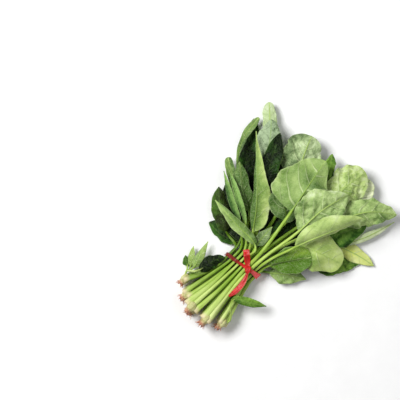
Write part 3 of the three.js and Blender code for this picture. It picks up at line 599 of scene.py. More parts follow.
def grid_faces(first, rows, columns, flip=False, wrap=False, closed=False):
    """Squares between rows of points. wrap joins a row's ends, closed the last row and the first."""
    i, j = np.meshgrid(np.arange(rows - (not closed)), np.arange(columns - (not wrap)), indexing="ij")
    i, j = i.ravel() * columns, j.ravel()
    after, beyond = (i + columns) % (rows * columns), (j + 1) % columns
    quad = np.stack([i + j, after + j, after + beyond, i + beyond], axis=1)
    return first + (quad[:, ::-1] if flip else quad)


def fan(centre, ring, flip=False):
    triangle = np.stack([np.full(len(ring), centre), ring, np.roll(ring, -1)], axis=1)
    return triangle[:, ::-1] if flip else triangle


# ---- Uneven fields ----

RIDGE_BEND, RIDGE_LENGTH = 0.12, 1.7  # height and length of a ridge's bends
RIDGE_LEVEL = 0.64  # taken off, so that the mean stays 0

def waves(rng, place, sizes, count, sharp=False):
    """An uneven field over place: count waves of random direction, with lengths between sizes.
    Sharp waves are ridges with round hollows between them, as on crumpled paper."""
    total = 0
    for _ in range(count):
        length = rng.uniform(*sizes)
        angle = rng.uniform(0, 2 * math.pi)
        way = np.array([math.cos(angle), math.sin(angle)])
        turns = place @ way / length
        if sharp:
            turns = turns + RIDGE_BEND * np.sin(2 * math.pi * (place @ way[::-1]) / (length * RIDGE_LENGTH))
            total += RIDGE_LEVEL - np.abs(np.sin(math.pi * turns + rng.uniform(0, 3)))
        else:
            total += np.sin(2 * math.pi * turns + rng.uniform(0, 2 * math.pi))
    return total / math.sqrt(count)


# ---- The fine surface of a leaf ----

SEED = 11
FINE_STEP = 1.1  # mesh size of the leaves that show
HIDDEN_STEP = 2.0  # mesh size of the lowest leaves
LEAST_ROWS = 12
CLOSER_AT_ENDS = 0.4  # of the rows, at the blade's foot and tip
CLOSER_AT_RIB = 1.12  # of the columns
RIB_SPREAD = 2.2  # of the midrib, from its middle line
SKIN = 0.5  # thickness of a blade
EDGE_SKIN, LEAST_SKIN = 0.25, 0.05  # at its edge, and pressed on the ground
STALK_STATIONS, BLADE_STATIONS = 160, 80  # points that a leaf's line is measured by

EDGE_WAVES = ((1.1, 0.08), (2.6, 0.05))  # of a blade's width: how many, and how high
NICK_LENGTH = 8
NICKS = (0.004, 0.016)  # their height in a flat leaf's edge, and what crinkle adds

VEINS = 4.5  # pairs of side veins on a blade
VEIN_SWEEP = 0.6  # how far they run forward for each mm outwards
VEIN_CURVE = 0.45  # and how they bend on towards the tip
VEIN_LEAST_HALF = 12  # a narrower blade's veins bend as this one's
VEIN_WANDER, VEIN_BLUR = 0.14, 0.05  # how far they stray, over the distance between them
VEIN_WAVES = ((16, 30), 3)
VEIN_HEIGHT, VEIN_WIDTH = 0.35, 0.8
VEIN_GROOVE = 0.6  # depth on the upper side, over height on the underside
VEIN_FADE = (0.66, 0.92)  # where along the blade they thin out
# how much bolder or fainter than the rest's the veins of some leaves are
BOLD_VEINS = {"A1": 1.5, "A3": 0.55, "A8": 0.6, "A9": 0.5, "A11": 0.6, "C4": 0.7, "D4": 0.6}

QUILT = (0.16, 0.40)  # its height between veins on a flat leaf, and what crinkle adds
QUILT_HALF, MOST_QUILT = 18, 1.2  # on a blade of this half width, and at most this much more
QUILT_GROWS, QUILT_FADES, QUILT_FOOT = (0.5, 6), (0.8, 1), 0.1  # at the midrib, edge and foot
# Relief that crinkle brings: wave lengths and number of waves, whether they are sharp, height on a flat
# leaf, what crinkle adds to it, and where it starts and is full, counted from the midrib.
RELIEF = (
    ((5, 9), 6, False, 0, 0.3, (1, 5)),
    ((10, 22), 4, True, 0.1, 1.5, (0, 6)),
    ((5, 9), 5, True, 0, 0.7, (0, 6)),
)
BROAD_WAVES = ((26, 55), 4)
BROAD_HEIGHT, BROAD_HALF = 1.3, 20  # height of slow waves on a blade of this half width
FRILL_WAVES = ((10, 19), 4)
FRILL = (0.5, 1.1)  # height of a flat leaf's edge, and what crinkle adds
FRILL_HALF = 14  # on a blade of this half width
MOST_FRILL = 1.3  # and at most this much higher on a wide one

RELIEF_PAINTED_SHADE = 0.16  # painted shade and light: how much darker for each mm that it lies low in a hollow, and paler where it stands up
TONE_DRIFT = 0.10  # slow change of tone over a blade
TONE_WAVES = ((18, 44), 4)
FOOT_PAINTED_SHADE = 0.18  # painted shade: how much darker it is at its foot, deep in the bunch
SEED_STEP = 37.0  # moves the materials' noises on from leaf to leaf


class FineLeaf:
    """A leaf's fine blade and stalk, laid where its coarse rows are laid."""

    def __init__(self, leaf):
        self.leaf = leaf
        self.rng = np.random.default_rng(SEED + leaf.index)
        self.seed = leaf.index * SEED_STEP
        rows = coarse_rows(leaf)
        self.lift = drape(rows)
        add_to_pile(rows, self.lift)
        # how far along the leaf's line its stations and its coarse rows are
        stalk = np.linspace(rows.along[0], 3, STALK_STATIONS, endpoint=False)
        self.stations = np.concatenate([stalk, np.linspace(3, 4, BLADE_STATIONS)])
        self.far = lengths(leaf.whole_line(self.stations))
        self.knots = np.interp(rows.along, self.stations, self.far)
        self.stalk_length = np.interp(3, self.stations, self.far)
        self.blade_length = self.far[-1] - self.stalk_length

    def shape_blade(self):
        """The smooth sheet: rows at s, columns at t, and flat places x and y on it."""
        leaf = self.leaf
        step = HIDDEN_STEP if leaf.hidden else FINE_STEP
        rows = max(int(self.blade_length / step), LEAST_ROWS)
        half_columns = max(int(2 * leaf.half * (1 + abs(leaf.lean)) / step), LEAST_ROWS) // 2
        even = np.linspace(0, 1, rows + 1)
        self.s = mix(even, (1 - np.cos(np.pi * even)) / 2, CLOSER_AT_ENDS)
        t = np.linspace(-1, 1, 2 * half_columns + 1)
        self.t = np.sign(t) * np.abs(t) ** CLOSER_AT_RIB
        self.sheet = leaf.sheet(self.s, self.t * self.uneven_width())
        rough = through(self.knots, self.lift, np.interp(3 + self.s, self.stations, self.far))
        self.sheet[..., 2] += through(leaf.columns, rough.T, self.t).T
        self.x = (self.s * self.blade_length)[:, None] + np.zeros_like(self.t)
        self.y = self.t * leaf.half_width(self.s)[:, None] * (1 + leaf.lean * np.sign(self.t))
        self.place = np.stack([self.x, self.y], axis=-1)
        self.out = np.abs(self.y)
        self.edge = np.abs(self.t)

    def uneven_width(self):
        """How much wider or narrower than its formula each side of the blade is, by place."""
        nicks = self.blade_length / NICK_LENGTH, NICKS[0] + NICKS[1] * self.leaf.crinkle
        sides = []
        for _ in range(2):
            turn = self.rng.uniform(0, 1, 3)
            sides.append(sum(high * np.sin(2 * math.pi * (often * self.s + start))
                             for (often, high), start in zip((*EDGE_WAVES, nicks), turn)))
        left, right = (side[:, None] for side in sides)
        return 1 + np.where(self.t < 0, left, right) * np.abs(self.t)

    def lay_veins(self):
        """Side veins are lines where phase is whole. They leave the midrib and sweep forward."""
        leaf, out, other = self.leaf, self.out, self.t > 0
        self.pitch = self.blade_length / VEINS
        bow = VEIN_CURVE * out * out / max(leaf.half, VEIN_LEAST_HALF)
        phase = (self.x - VEIN_SWEEP * out - bow) / self.pitch + 0.5 * other
        wander = VEIN_WANDER * np.sin(2.1 * phase + leaf.index + 2 * other)
        self.phase = phase + wander + VEIN_BLUR * waves(self.rng, self.place, *VEIN_WAVES)
        self.bold = BOLD_VEINS.get(leaf.name, 1) * (1 - 0.8 * ease(*VEIN_FADE, self.s)[:, None])

    def roughen(self):
        """Bends the sheet: quilting between the veins, crumples, broad waves and a frilled edge."""
        leaf, rng, out = self.leaf, self.rng, self.out
        self.up = 1 if leaf.face == UPPER else -1
        between = np.abs(np.sin(np.pi * self.phase)) * ease(*QUILT_GROWS, out)
        between = between * (1 - ease(*QUILT_FADES, self.edge)) * ease(0, QUILT_FOOT, self.s)[:, None]
        quilt = (QUILT[0] + QUILT[1] * leaf.crinkle) * min(leaf.half / QUILT_HALF, MOST_QUILT)
        bend = self.up * quilt * between
        for sizes, count, sharp, plain, crinkled, grows in RELIEF:
            height = plain + crinkled * leaf.crinkle
            bend = bend + waves(rng, self.place, sizes, count, sharp) * height * ease(*grows, out)
        broad = waves(rng, self.place, *BROAD_WAVES) * BROAD_HEIGHT * min(leaf.half / BROAD_HALF, MOST_FRILL)
        frill = waves(rng, self.place, *FRILL_WAVES) * (FRILL[0] + FRILL[1] * leaf.crinkle)
        frill = frill * self.edge ** 3 * min(leaf.half / FRILL_HALF, MOST_FRILL)
        self.bend = (bend + broad * ease(0, 8, out) + frill) * opened(self.s)[:, None]
        self.sheet = self.sheet + normals(self.sheet) * self.bend[..., None]

    def settle(self):
        """Lays the sheet on the heap, with its midrib up or down."""
        rib = self.leaf.rib_height(self.s)[:, None] * np.exp(-(self.out / RIB_SPREAD) ** 2)
        over, under = (rib, 0 * rib) if self.leaf.face == UNDER else (0 * rib, rib)
        settle_on_heap(self.sheet, SKIN / 2 + under, ease(0, 0.12, self.s)[:, None])
        x, y, z = np.moveaxis(self.sheet, 2, 0)
        heap.lay(x, y, z + SKIN / 2 + over)
        self.normal = normals(self.sheet)

    def blade_look(self):
        """Tone, warmth and crinkle, which the materials read. The tone holds painted light and shade: a paler
        or darker half, paler ridges, darker hollows and a darker foot.
        """
        leaf = self.leaf
        # painted shade in the hollows of the blade and painted light on its ridges
        relief_light_shade = RELIEF_PAINTED_SHADE * np.clip(self.bend * self.up, -2, 2)
        drift = TONE_DRIFT * waves(self.rng, self.place, *TONE_WAVES)
        # painted light and shade: the paler or darker half, ridges and hollows, and the shaded foot
        tone = leaf.tone + leaf.left_tone * self.t + relief_light_shade + drift - FOOT_PAINTED_SHADE * (1 - self.s[:, None]) ** 2
        return triples(tone, leaf.warmth, leaf.crinkle)

    def add_blade(self, skin):
        """Both faces, with veins raised on the underside and sunk on the upper one, and the rim."""
        thick = mix(SKIN, EDGE_SKIN, ease(0.7, 1, self.edge))[:, None] / 2
        aside = np.abs((self.phase + 0.5) % 1 - 0.5) * self.pitch / VEIN_WIDTH
        line = np.exp(-aside ** 2) * ease(0.5, 2, self.out) * (1 - ease(0.7, 1, self.edge))
        ridge = (VEIN_HEIGHT * self.bold * line * opened(self.s)[:, None])[..., None]
        raised = {LEAF_UPPER: -ridge * VEIN_GROOVE, LEAF_UNDER: ridge}
        upper, lower = (LEAF_UPPER, LEAF_UNDER) if self.leaf.face == UPPER else (LEAF_UNDER, LEAF_UPPER)
        top = self.sheet + self.normal * (thick + raised[upper])
        bottom = self.sheet - self.normal * (thick + raised[lower])
        top[..., 2] = np.maximum(top[..., 2], LEAST_SKIN)
        bottom[..., 2] = np.maximum(bottom[..., 2], 0.0)
        flat = triples(self.x, self.y, self.seed)
        vein = triples(self.phase, self.pitch / self.bold, self.t)
        look = self.blade_look()
        high, low = (skin.add_points(face, flat, vein, look) for face in (top, bottom))
        n, m = self.x.shape
        skin.add_faces(grid_faces(high, n, m), upper)
        skin.add_faces(grid_faces(low, n, m, flip=True), lower)
        number = np.arange(n * m).reshape(n, m)
        rim = np.concatenate([number[:, 0], number[-1, 1:], number[-2::-1, -1], number[0, -2:0:-1]])
        beyond = np.roll(rim, -1)
        skin.add_faces(np.stack([high + rim, low + rim, low + beyond, high + beyond], axis=1), LEAF_UNDER)


# ---- Stalks ----

TUBE_SIDES = 14
TUBE_STEP = 3.0
LEAST_RINGS = 6
STALK_BOW = 3.0  # at most, sideways between the crown and the tie
STALK_RISE = 1.5  # and upwards
STALK_FLAT = 0.5  # how much broader than high its foot is
STALK_GIRTH = (-0.26, 0.16)  # how much thinner or thicker a stalk is below the tie
SPRIG_THIN = 0.75  # how thick a small leaf's stalk is, over the rest's
MIDRIB_END = 0.93  # where along the blade its tube ends
MIDRIB_TAPER = 0.86  # the share of its radius that is gone at the blade's tip
MIDRIB_SLIM = 0.45  # and on the upper side, where it hardly shows
MIDRIB_SUNK = {UNDER: 0.62, UPPER: -0.95}  # how far off the sheet, over its radius
JOIN_LENGTH = 8  # how far the bend at the blade's foot is eased
TUBE_RIBS, TUBE_RIB = 5, 0.05  # ribs along a stalk, and their height over its radius
GROOVE, GROOVE_HALF = 0.20, 0.5  # its depth over the radius, and its half width, rad
WOBBLE, WOBBLE_LENGTH = 0.03, 9  # its height over the radius, and its length over 2 pi
STALK_PAINTED_ROW_SHADE = (0.12, 0.17)  # painted shade: tone of the lowest, most shaded row of stalks, and what each higher row adds
STALK_DRIFT = 0.42  # how much darker or paler than that a stalk is
SPRIG_ROW = 3  # a small leaf's stalk is as pale as this row's, in that painted shade


def add_stalk(fine, skin):
    """The stalk, which runs on as the midrib: one tapering tube."""
    where, centre, radius = (np.concatenate(pair) for pair in zip(stalk_rings(fine), midrib_rings(fine)))
    flatness = fine.rng.uniform(0, STALK_FLAT)
    smooth = centre.copy()
    for _ in range(3):
        smooth[1:-1] = (smooth[:-2] + 2 * smooth[1:-1] + smooth[2:]) / 4
    centre = mix(centre, smooth, np.exp(-((where - fine.stalk_length) / JOIN_LENGTH) ** 2)[:, None])
    wide = np.ones(len(where))
    if fine.leaf.slot:
        wide += flatness * (1 - ease(0, np.interp(1, fine.stations, fine.far), where))
    add_ribbed_tube(fine, skin, where, centre, radius, wide)
    side, _ = frame_along(centre)
    offsets = np.array([-0.7, 0, 0.7])
    x, y, z = np.moveaxis(centre[:, None] + beside(side, offsets * radius[:, None]), 2, 0)
    heap.lay(x, y, z + radius[:, None] * np.sqrt(1 - offsets ** 2))


def stalk_rings(fine):
    """Distances, middles and radii of the rings from the crown to the blade's foot."""
    leaf, rng = fine.leaf, fine.rng
    count = max(int(fine.stalk_length / TUBE_STEP), LEAST_RINGS)
    where = np.linspace(0, fine.stalk_length, count, endpoint=False)
    at = np.interp(where, fine.far, fine.stations)
    centre = leaf.whole_line(at)
    centre[:, 2] += through(fine.knots, fine.lift, where)[:, fine.lift.shape[1] // 2]
    below_tie, past_tie = np.clip(at, 0, 1), np.clip(at - 2, 0, 1)
    radius = np.where(at < 1, mix(STALK_FOOT_RADIUS, STALK_RADIUS, below_tie ** 0.8),
                      mix(STALK_RADIUS, STALK_NECK_RADIUS, past_tie))
    radius = radius * leaf.scale * (1 if leaf.slot else SPRIG_THIN)
    bow, rise = rng.uniform(-STALK_BOW, STALK_BOW), rng.uniform(0, STALK_RISE)
    if leaf.slot:
        centre[:, 1] += bow * np.sin(np.pi * below_tie)
        centre[:, 2] += rise * np.sin(np.pi * below_tie)
    return where, centre, radius * (1 + rng.uniform(*STALK_GIRTH) * ease(1, 0.4, at))


def midrib_rings(fine):
    """The same of the midrib, which sinks into the blade."""
    leaf, middle = fine.leaf, len(fine.t) // 2
    count = max(int(fine.blade_length * MIDRIB_END / TUBE_STEP), LEAST_RINGS)
    ribs = np.linspace(0, MIDRIB_END, count)
    centre = through(fine.s, fine.sheet[:, middle], ribs)
    way = unit(through(fine.s, fine.normal[:, middle], ribs))
    radius = STALK_NECK_RADIUS * leaf.scale * (1 - MIDRIB_TAPER * ribs ** 0.5)
    if leaf.face == UPPER:
        radius = radius * (1 - MIDRIB_SLIM * ease(0, 0.1, ribs))
    off = MIDRIB_SUNK[leaf.face] * ease(0, 0.15, ribs) * radius
    return fine.stalk_length + ribs * fine.blade_length, centre + way * off[:, None], radius


def add_ribbed_tube(fine, skin, where, centre, radius, wide):
    """A ribbed tube with a groove, broader than high where wide is above 1."""
    leaf, rng = fine.leaf, fine.rng
    angle = circle(TUBE_SIDES)
    groove_at = math.pi / 2 * (-1 if leaf.face == UNDER else 1)
    apart = np.abs((angle - groove_at + math.pi) % (2 * math.pi) - math.pi)
    turn = rng.uniform(0, 6)
    section = 1 + TUBE_RIB * np.cos(TUBE_RIBS * angle + turn) - GROOVE * np.exp(-(apart / GROOVE_HALF) ** 2)
    wobble = 1 + WOBBLE * np.sin(where[:, None] / WOBBLE_LENGTH + 3 * angle + turn)
    r = radius[:, None] * section * wobble
    side, rise = frame_along(centre)
    across, high = r * wide[:, None] * np.cos(angle), r * (1.3 - 0.3 * wide[:, None]) * np.sin(angle)
    row = leaf.slot[1] if leaf.slot else SPRIG_ROW
    # painted shade: lower rows of stalks are darker, with a random drift
    tone = STALK_PAINTED_ROW_SHADE[0] + STALK_PAINTED_ROW_SHADE[1] * row + rng.uniform(-STALK_DRIFT, STALK_DRIFT)
    on_blade = ease(fine.stalk_length, fine.stalk_length + 6, where)
    skin.add_tube(centre[:, None] + beside(side, across) + beside(rise, high), centre[[0, -1]], STALK,
                  flat=triples(where[:, None], angle * 2.2, fine.seed), end_flat=(0, 0, fine.seed),
                  vein=triples(on_blade, 0, 0)[:, None], look=(tone, leaf.tone, 0))


# ---- Crowns ----

CROWN_SIDES = 28
CROWN_RINGS = 22
# places along it over the root's length, and the radius there over the crown's
CROWN_PROFILE = ((-1, 0.62), (-0.7, 0.68), (-0.4, 0.74), (-0.15, 0.9), (0.05, 1), (0.35, 0.98), (0.6, 0.9),
                 (0.9, 0.7), (1.1, 0.4))
CROWN_BUMPS = ((3, 0.07, 0.15), (7, 0.06, 0), (11, 0.03, 0.6))  # how many round it, height and twist
SMALL_CROWN, SMALL_FROM = 0.85, -3  # size with one or two stalks, from here on
CUT_SIZE = 0.9  # of the ragged end over the ring next to it
ROOTLETS, ROOTLET_RADIUS, ROOTLET_SIDES = 6, 0.75, 6
ROOTLET_FROM, ROOTLET_LENGTHS = (-7, -3), (4, 8)
ROOTLET_BACK, ROOTLET_OUT, ROOTLET_DROOP = 0.75, 0.65, 1.5


def add_crown(plant, skin):
    number = int(plant[-2:])
    rng = np.random.default_rng(SEED + 100 + number)
    seed = 900 + 31 * number
    crown = crown_place(plant)
    stations, sizes = np.array(CROWN_PROFILE).T * [[ROOT_LENGTH], [CROWN_RADIUS]]
    x = np.linspace(stations[0], stations[-1], CROWN_RINGS)[:, None]
    girth = 1 if sum(name in slots for name in PLANTS[plant]) > 2 else SMALL_CROWN
    angle = circle(CROWN_SIDES)
    turn = rng.uniform(0, 6, 4)
    uneven = 1 + sum(high * np.sin(count * angle + start + x * twist)
                     for (count, high, twist), start in zip(CROWN_BUMPS, turn))
    radius = np.interp(x, stations, sizes) * np.where(x > SMALL_FROM, girth, 1) * uneven
    along = x + 0 * angle
    along[0] += 1.4 * np.sin(2 * angle + turn[3]) + 0.8 * np.sin(5 * angle)
    radius[0] *= CUT_SIZE
    ends = [crown + (stations[0] + 0.8, 0, 0), crown + (stations[-1] + 0.3, 0, 0)]
    skin.add_tube(crown + triples(along, radius * np.cos(angle), radius * np.sin(angle)), ends, CROWN,
                  flat=triples(x + 9, angle * 5, seed), end_flat=(0, 0, seed))
    for _ in range(ROOTLETS):
        add_rootlet(crown, skin, rng, seed)


def add_rootlet(crown, skin, rng, seed):
    """A thin side root that lies back."""
    angle = rng.uniform(0, 2 * math.pi)
    out = np.array([0, math.cos(angle), math.sin(angle)])
    start = crown + (rng.uniform(*ROOTLET_FROM), 0, 0) + out * ROOT_RADIUS * 0.8
    length = rng.uniform(*ROOTLET_LENGTHS)
    u = np.linspace(0, 1, 6)[:, None]
    bend = np.array([0, -out[2], out[1]]) * rng.uniform(-2, 2)
    way = out * ROOTLET_OUT - (ROOTLET_BACK, 0, 0)
    centre = start + way * length * u + (bend - ROOTLET_DROOP * UP) * u * u
    centre[:, 2] = np.maximum(centre[:, 2], 0.5)
    radius = ROOTLET_RADIUS * (1 - 0.75 * u)
    side, rise = frame_along(centre, (0, 0.3, 1))
    ring = circle(ROOTLET_SIDES)
    rings = centre[:, None] + beside(side, radius * np.cos(ring)) + beside(rise, radius * np.sin(ring))
    skin.add_tube(rings, centre[[0, -1]], CROWN, flat=(1.0, 0, seed), end_flat=(1.0, 0, seed))


# ---- The tie ----

BAND_STEPS = 220
BAND_ACROSS = 12
BAND_SKIN = 0.9
BAND_SHARE = 0.8  # the crumpled band's width over the tie's
# height and length over 2 pi of its ripples: of the middle line and of the width
BAND_SWAY = ((0.9, 17), (0.4, 7.3))
BAND_RIPPLES = ((0.1, 9), (0.06, 3.7))
BAND_WIDER, WIDER_FROM = 0.5, (-12, -26)  # on its way down on one side
# where along y painted shade darkens the band on its left and painted light brightens it on its right
PAINTED_SHADE_FROM, PAINTED_LIGHT_FROM = (-2, 12), (-6, -16)
CREASES_AT_EDGE = 0.3  # how much lower they are at the edge
INNER_CREASES = 0.5  # how high on the inner face
TAIL_SKIN = 0.8
TAIL_STEPS = 46
TAIL_CLOSER = 0.3  # than the solid's loose end lies
TAIL_SETTLING = (0.99, 60, 4)
BAND_SEED, KNOT_SEED, TAIL_SEED = 501, 510, 520
# the knot's turns: which way each lies, half its length, half its height and half its width
KNOT_TURNS = ((0.35, 4.6, 2.6, 2.3), (-0.9, 4.0, 2.2, 2.0), (1.5, 3.4, 1.9, 1.8))


def tie_outline(distance):
    """The band's closed path round the stalks, and the way out at each point."""
    stalks = np.array([slot_place(slot, 0)[1:] for slot in slots.values()])
    angle = circle(720)
    way = np.stack([np.cos(angle), np.sin(angle)], axis=1)
    path = stalks[np.argmax(way @ stalks.T, axis=1)] + distance * way
    closed = np.vstack([path, path[:1]])
    far = lengths(closed)
    where = np.linspace(0, far[-1], BAND_STEPS, endpoint=False)
    out = np.interp(where, far, np.append(angle, 2 * math.pi))
    y, z = (np.interp(where, far, closed[:, k]) for k in (0, 1))
    return where, y, z, np.cos(out), np.sin(out)


def ribbon(skin, centre, out, side, half, thick, where, seed, closed, shade=0.0):
    """A crumpled flat band: rows of points over its face, round its edge and back under it."""
    rng = np.random.default_rng(seed)
    across = np.linspace(-1, 1, BAND_ACROSS)
    fold = rng.uniform(0, 6, 3)
    where = where[:, None]
    lengthwise = (0.30 * np.sin(4.2 * across + fold[0] + 0.8 * np.sin(where / 11))
                  + 0.16 * np.sin(9 * across + fold[1] + where / 7))
    crosswise = 0.12 * np.sin(where / 1.9 + 2.2 * across + fold[2])
    height = lengthwise + crosswise
    height = height * (1 - CREASES_AT_EDGE * across ** 2)
    aside = np.concatenate([across, across[::-1]]) * half[:, None]
    off = np.concatenate([height + thick / 2, height[:, ::-1] * INNER_CREASES - thick / 2], axis=1)
    rows = (centre[:, None] + beside(side, aside) + beside(out, off))[:, ::-1]
    ends = None if closed else rows[[0, -1]].mean(axis=1)
    flat = triples(where, aside[:, ::-1], seed)
    skin.add_tube(rows, ends, 0, flat, (0, 0, seed), look=triples(shade, 0, 0))


def ripples(where, waves):
    return sum(high * np.sin(where / long) for high, long in waves)


def add_band(skin):
    where, y, z, out_y, out_z = tie_outline(TIE_INSIDE + TIE_THICKNESS / 2)
    centre = np.column_stack([ripples(where, BAND_SWAY) - TIE_SLANT * y, y, z])
    side = np.tile((1.0, 0, 0), (len(where), 1))
    half = TIE_WIDTH / 2 * (BAND_SHARE + ripples(where, BAND_RIPPLES))
    half = half * (1 + BAND_WIDER * ease(*WIDER_FROM, y))
    # painted shade on the left (above 0) and painted light on the right (below 0), which the material reads
    shade = (ease(*PAINTED_SHADE_FROM, y) - ease(*PAINTED_LIGHT_FROM, y))[:, None]
    out = np.column_stack([0 * y, out_y, out_z])
    ribbon(skin, centre, out, side, half, BAND_SKIN, where, BAND_SEED, True, shade)


def add_knot(skin):
    angle = circle(64)
    for number, (turn, wide, high, half) in enumerate(KNOT_TURNS):
        lead = np.array([math.cos(turn), math.sin(turn), 0])
        across = np.array([-math.sin(turn), math.cos(turn), 0])
        level, steep = np.cos(angle)[:, None], np.sin(angle)[:, None]
        centre = np.array(KNOT) + lead * wide * level + UP * high * steep
        side = np.tile(across, (len(angle), 1))
        ribbon(skin, centre, lead * level + UP * steep, side, np.full(len(angle), half), BAND_SKIN,
               angle * 4, KNOT_SEED + number, True)


def add_tail(skin, end, seed):
    """A loose end, draped on what lies beneath it."""
    start, halfway, last = (np.array(point, float) for point in end[:3])
    full_half, left_at_tip = end[3:]
    bend = halfway * 2 - start * 0.5 - last * 0.5
    u = np.linspace(0, 1, TAIL_STEPS)[:, None]
    centre = start * (1 - u) ** 2 + bend * 2 * u * (1 - u) + last * u * u
    side, _ = frame_along(centre)
    point = 1 - (1 - left_at_tip) * np.clip((u[:, 0] - TIE_END_TAPER) / (1 - TIE_END_TAPER), 0, 1)
    half = full_half * (0.5 + 0.5 * ease(0, 0.5, u[:, 0])) * point
    rows = centre[:, None] + beside(side, np.linspace(-1, 1, 5) * half[:, None])
    floor = heap.read(rows[..., 0], rows[..., 1]).max(axis=1)
    need = np.maximum(floor + TIE_THICKNESS / 2 + TAIL_GAP - TAIL_CLOSER - centre[:, 2], 0)
    centre = centre + UP * spread_lift(need, *TAIL_SETTLING)[:, None]
    twist = 0.35 * np.sin(u * 5 + seed)
    tilted = unit(side * np.cos(twist) + UP * np.sin(twist))
    out = unit(np.cross(np.gradient(centre, axis=0), tilted))
    ribbon(skin, centre, out, tilted, half, TAIL_SKIN, lengths(centre), seed, False)


# ---- Materials ----

def colour(red, green, blue):
    """A linear colour from the 0 to 255 values of a screen."""
    def linear(value):
        value /= 255
        return value / 12.92 if value <= 0.04045 else ((value + 0.055) / 1.055) ** 2.4
    return (linear(red), linear(green), linear(blue), 1.0)


def by_node(operation):
    def apply(value, other=0.0):
        return value.nodes.math(operation, value, other)
    return apply


class Value:
    """What a node gives out at each point. Arithmetic with it adds more nodes."""

    def __init__(self, nodes, socket):
        self.nodes, self.socket = nodes, socket

    __add__, __sub__, __mul__ = by_node("ADD"), by_node("SUBTRACT"), by_node("MULTIPLY")
    __truediv__, __abs__, at_least = by_node("DIVIDE"), by_node("ABSOLUTE"), by_node("MAXIMUM")


class Nodes:
    """Short ways to add shader nodes to one material."""

    def __init__(self, name):
        self.material = bpy.data.materials.new(name)
        self.material.use_nodes = True
        self.tree = self.material.node_tree

    def fill(self, node, inputs):
        for key, value in inputs.items():
            if isinstance(value, Value):
                self.tree.links.new(value.socket, node.inputs[key])
            else:
                node.inputs[key].default_value = value

    def add(self, kind, inputs, output=0, **settings):
        """Adds a node, and gives one of its outputs."""
        node = self.tree.nodes.new(kind)
        for key, value in settings.items():
            setattr(node, key, value)
        self.fill(node, inputs)
        return Value(self, node.outputs[output])

    def attribute(self, name):
        """The three numbers that a mesh keeps at each point under this name."""
        kept = self.add("ShaderNodeAttribute", {}, "Vector", attribute_name=name)
        split = self.add("ShaderNodeSeparateXYZ", {0: kept})
        return [Value(self, axis) for axis in split.socket.node.outputs]

    def math(self, operation, a, b=0.0):
        return self.add("ShaderNodeMath", {0: a, 1: b}, operation=operation)

    def spread(self, value, low, high, start=0.0, end=1.0):
        """Goes smoothly from start where value is low to end where it is high."""
        limits = {"Value": value, "From Min": low, "From Max": high, "To Min": start, "To Max": end}
        return self.add("ShaderNodeMapRange", limits, interpolation_type="SMOOTHSTEP")

    def ramp(self, value, stops):
        """Colours by value: stops are pairs of a value and the screen colour there."""
        ramp = self.add("ShaderNodeValToRGB", {"Fac": value})
        elements = ramp.socket.node.color_ramp.elements
        while len(elements) < len(stops):
            elements.new(0.5)
        for element, (place, shade) in zip(elements, stops):
            element.position = place
            element.color = colour(*shade)
        return ramp

    def cover(self, base, *layers):
        """Lays shades over a base. Each layer is its share and its colour."""
        for share, shade in layers:
            shade = shade if isinstance(shade, Value) else colour(*shade)
            base = self.add("ShaderNodeMix", {"Factor": share, 6: base, 7: shade}, 2, data_type="RGBA")
        return base

    def place(self, x, y, z):
        return self.add("ShaderNodeCombineXYZ", {0: x, 1: y, 2: z})

    def noise(self, place, scale, detail=3.0, rough=0.55):
        looks = {"Vector": place, "Scale": scale, "Detail": detail, "Roughness": rough}
        return self.add("ShaderNodeTexNoise", looks, "Fac")

    def finish(self, base, roughness, height, depth, specular=0.5):
        """Fills in the shader. height is relief, which stands up to depth, in metres."""
        normal = self.add("ShaderNodeBump", {"Height": height, "Distance": depth})
        shader = self.tree.nodes["Principled BSDF"]
        self.fill(shader, {"Base Color": base, "Roughness": roughness, "Normal": normal})
        self.fill(shader, {"Specular IOR Level": specular})
        return self.material


def leaf_parts(nodes):
    """What the materials of both faces share."""
    x, y, seed = nodes.attribute("flat")
    phase, pitch, t = nodes.attribute("vein")
    tone, warmth, crinkle = nodes.attribute("look")
    edge = abs(t)
    beside_vein = abs(nodes.math("FRACT", phase + 0.5) - 0.5) * pitch
    place = nodes.place(x, y, seed)
    wander = nodes.noise(place, 0.22, detail=2)
    bent = nodes.place(wander * 5 + x, wander * -4 + y, seed)
    net_cells = {"Vector": bent, "Scale": 0.3}
    beside_net = nodes.add("ShaderNodeTexVoronoi", net_cells, "Distance", feature="DISTANCE_TO_EDGE")
    mottle = (nodes.noise(bent, 0.17, detail=4, rough=0.7) - 0.5) * (crinkle * 1.3 + 0.35)
    return SimpleNamespace(
        place=place,
        tone=tone + mottle,
        warmth=warmth,
        mottle=mottle,
        side_vein=nodes.spread(beside_vein / nodes.spread(edge, 0, 1, 0.9, 0.3), 0.375, 1.375, 1, 0),
        midrib=nodes.spread(abs(y), 0.4, 1.1, 1, 0),
        net_line=nodes.spread(beside_net, 0, 0.10, 1, 0),
        net_hollow=nodes.spread(beside_net, 0, 0.45),
        # painted highlight: a pale line along the blade's edge, where it curls up to the light
        rim=nodes.spread(edge, 0.93, 1, 0, 0.35),
    )


def leaf_colour(nodes, tone, warmth, green, yellow, grey_and_sheen):
    """Colour by tone: green, towards yellow where warmth is above 0, and grey where below, which is partly the
    leaf's own grey-green and partly painted sheen.
    """
    green, yellow, grey_and_sheen = (nodes.ramp(tone, stops) for stops in (green, yellow, grey_and_sheen))
    return nodes.cover(green, (warmth.at_least(0), yellow), ((warmth * -1).at_least(0), grey_and_sheen))


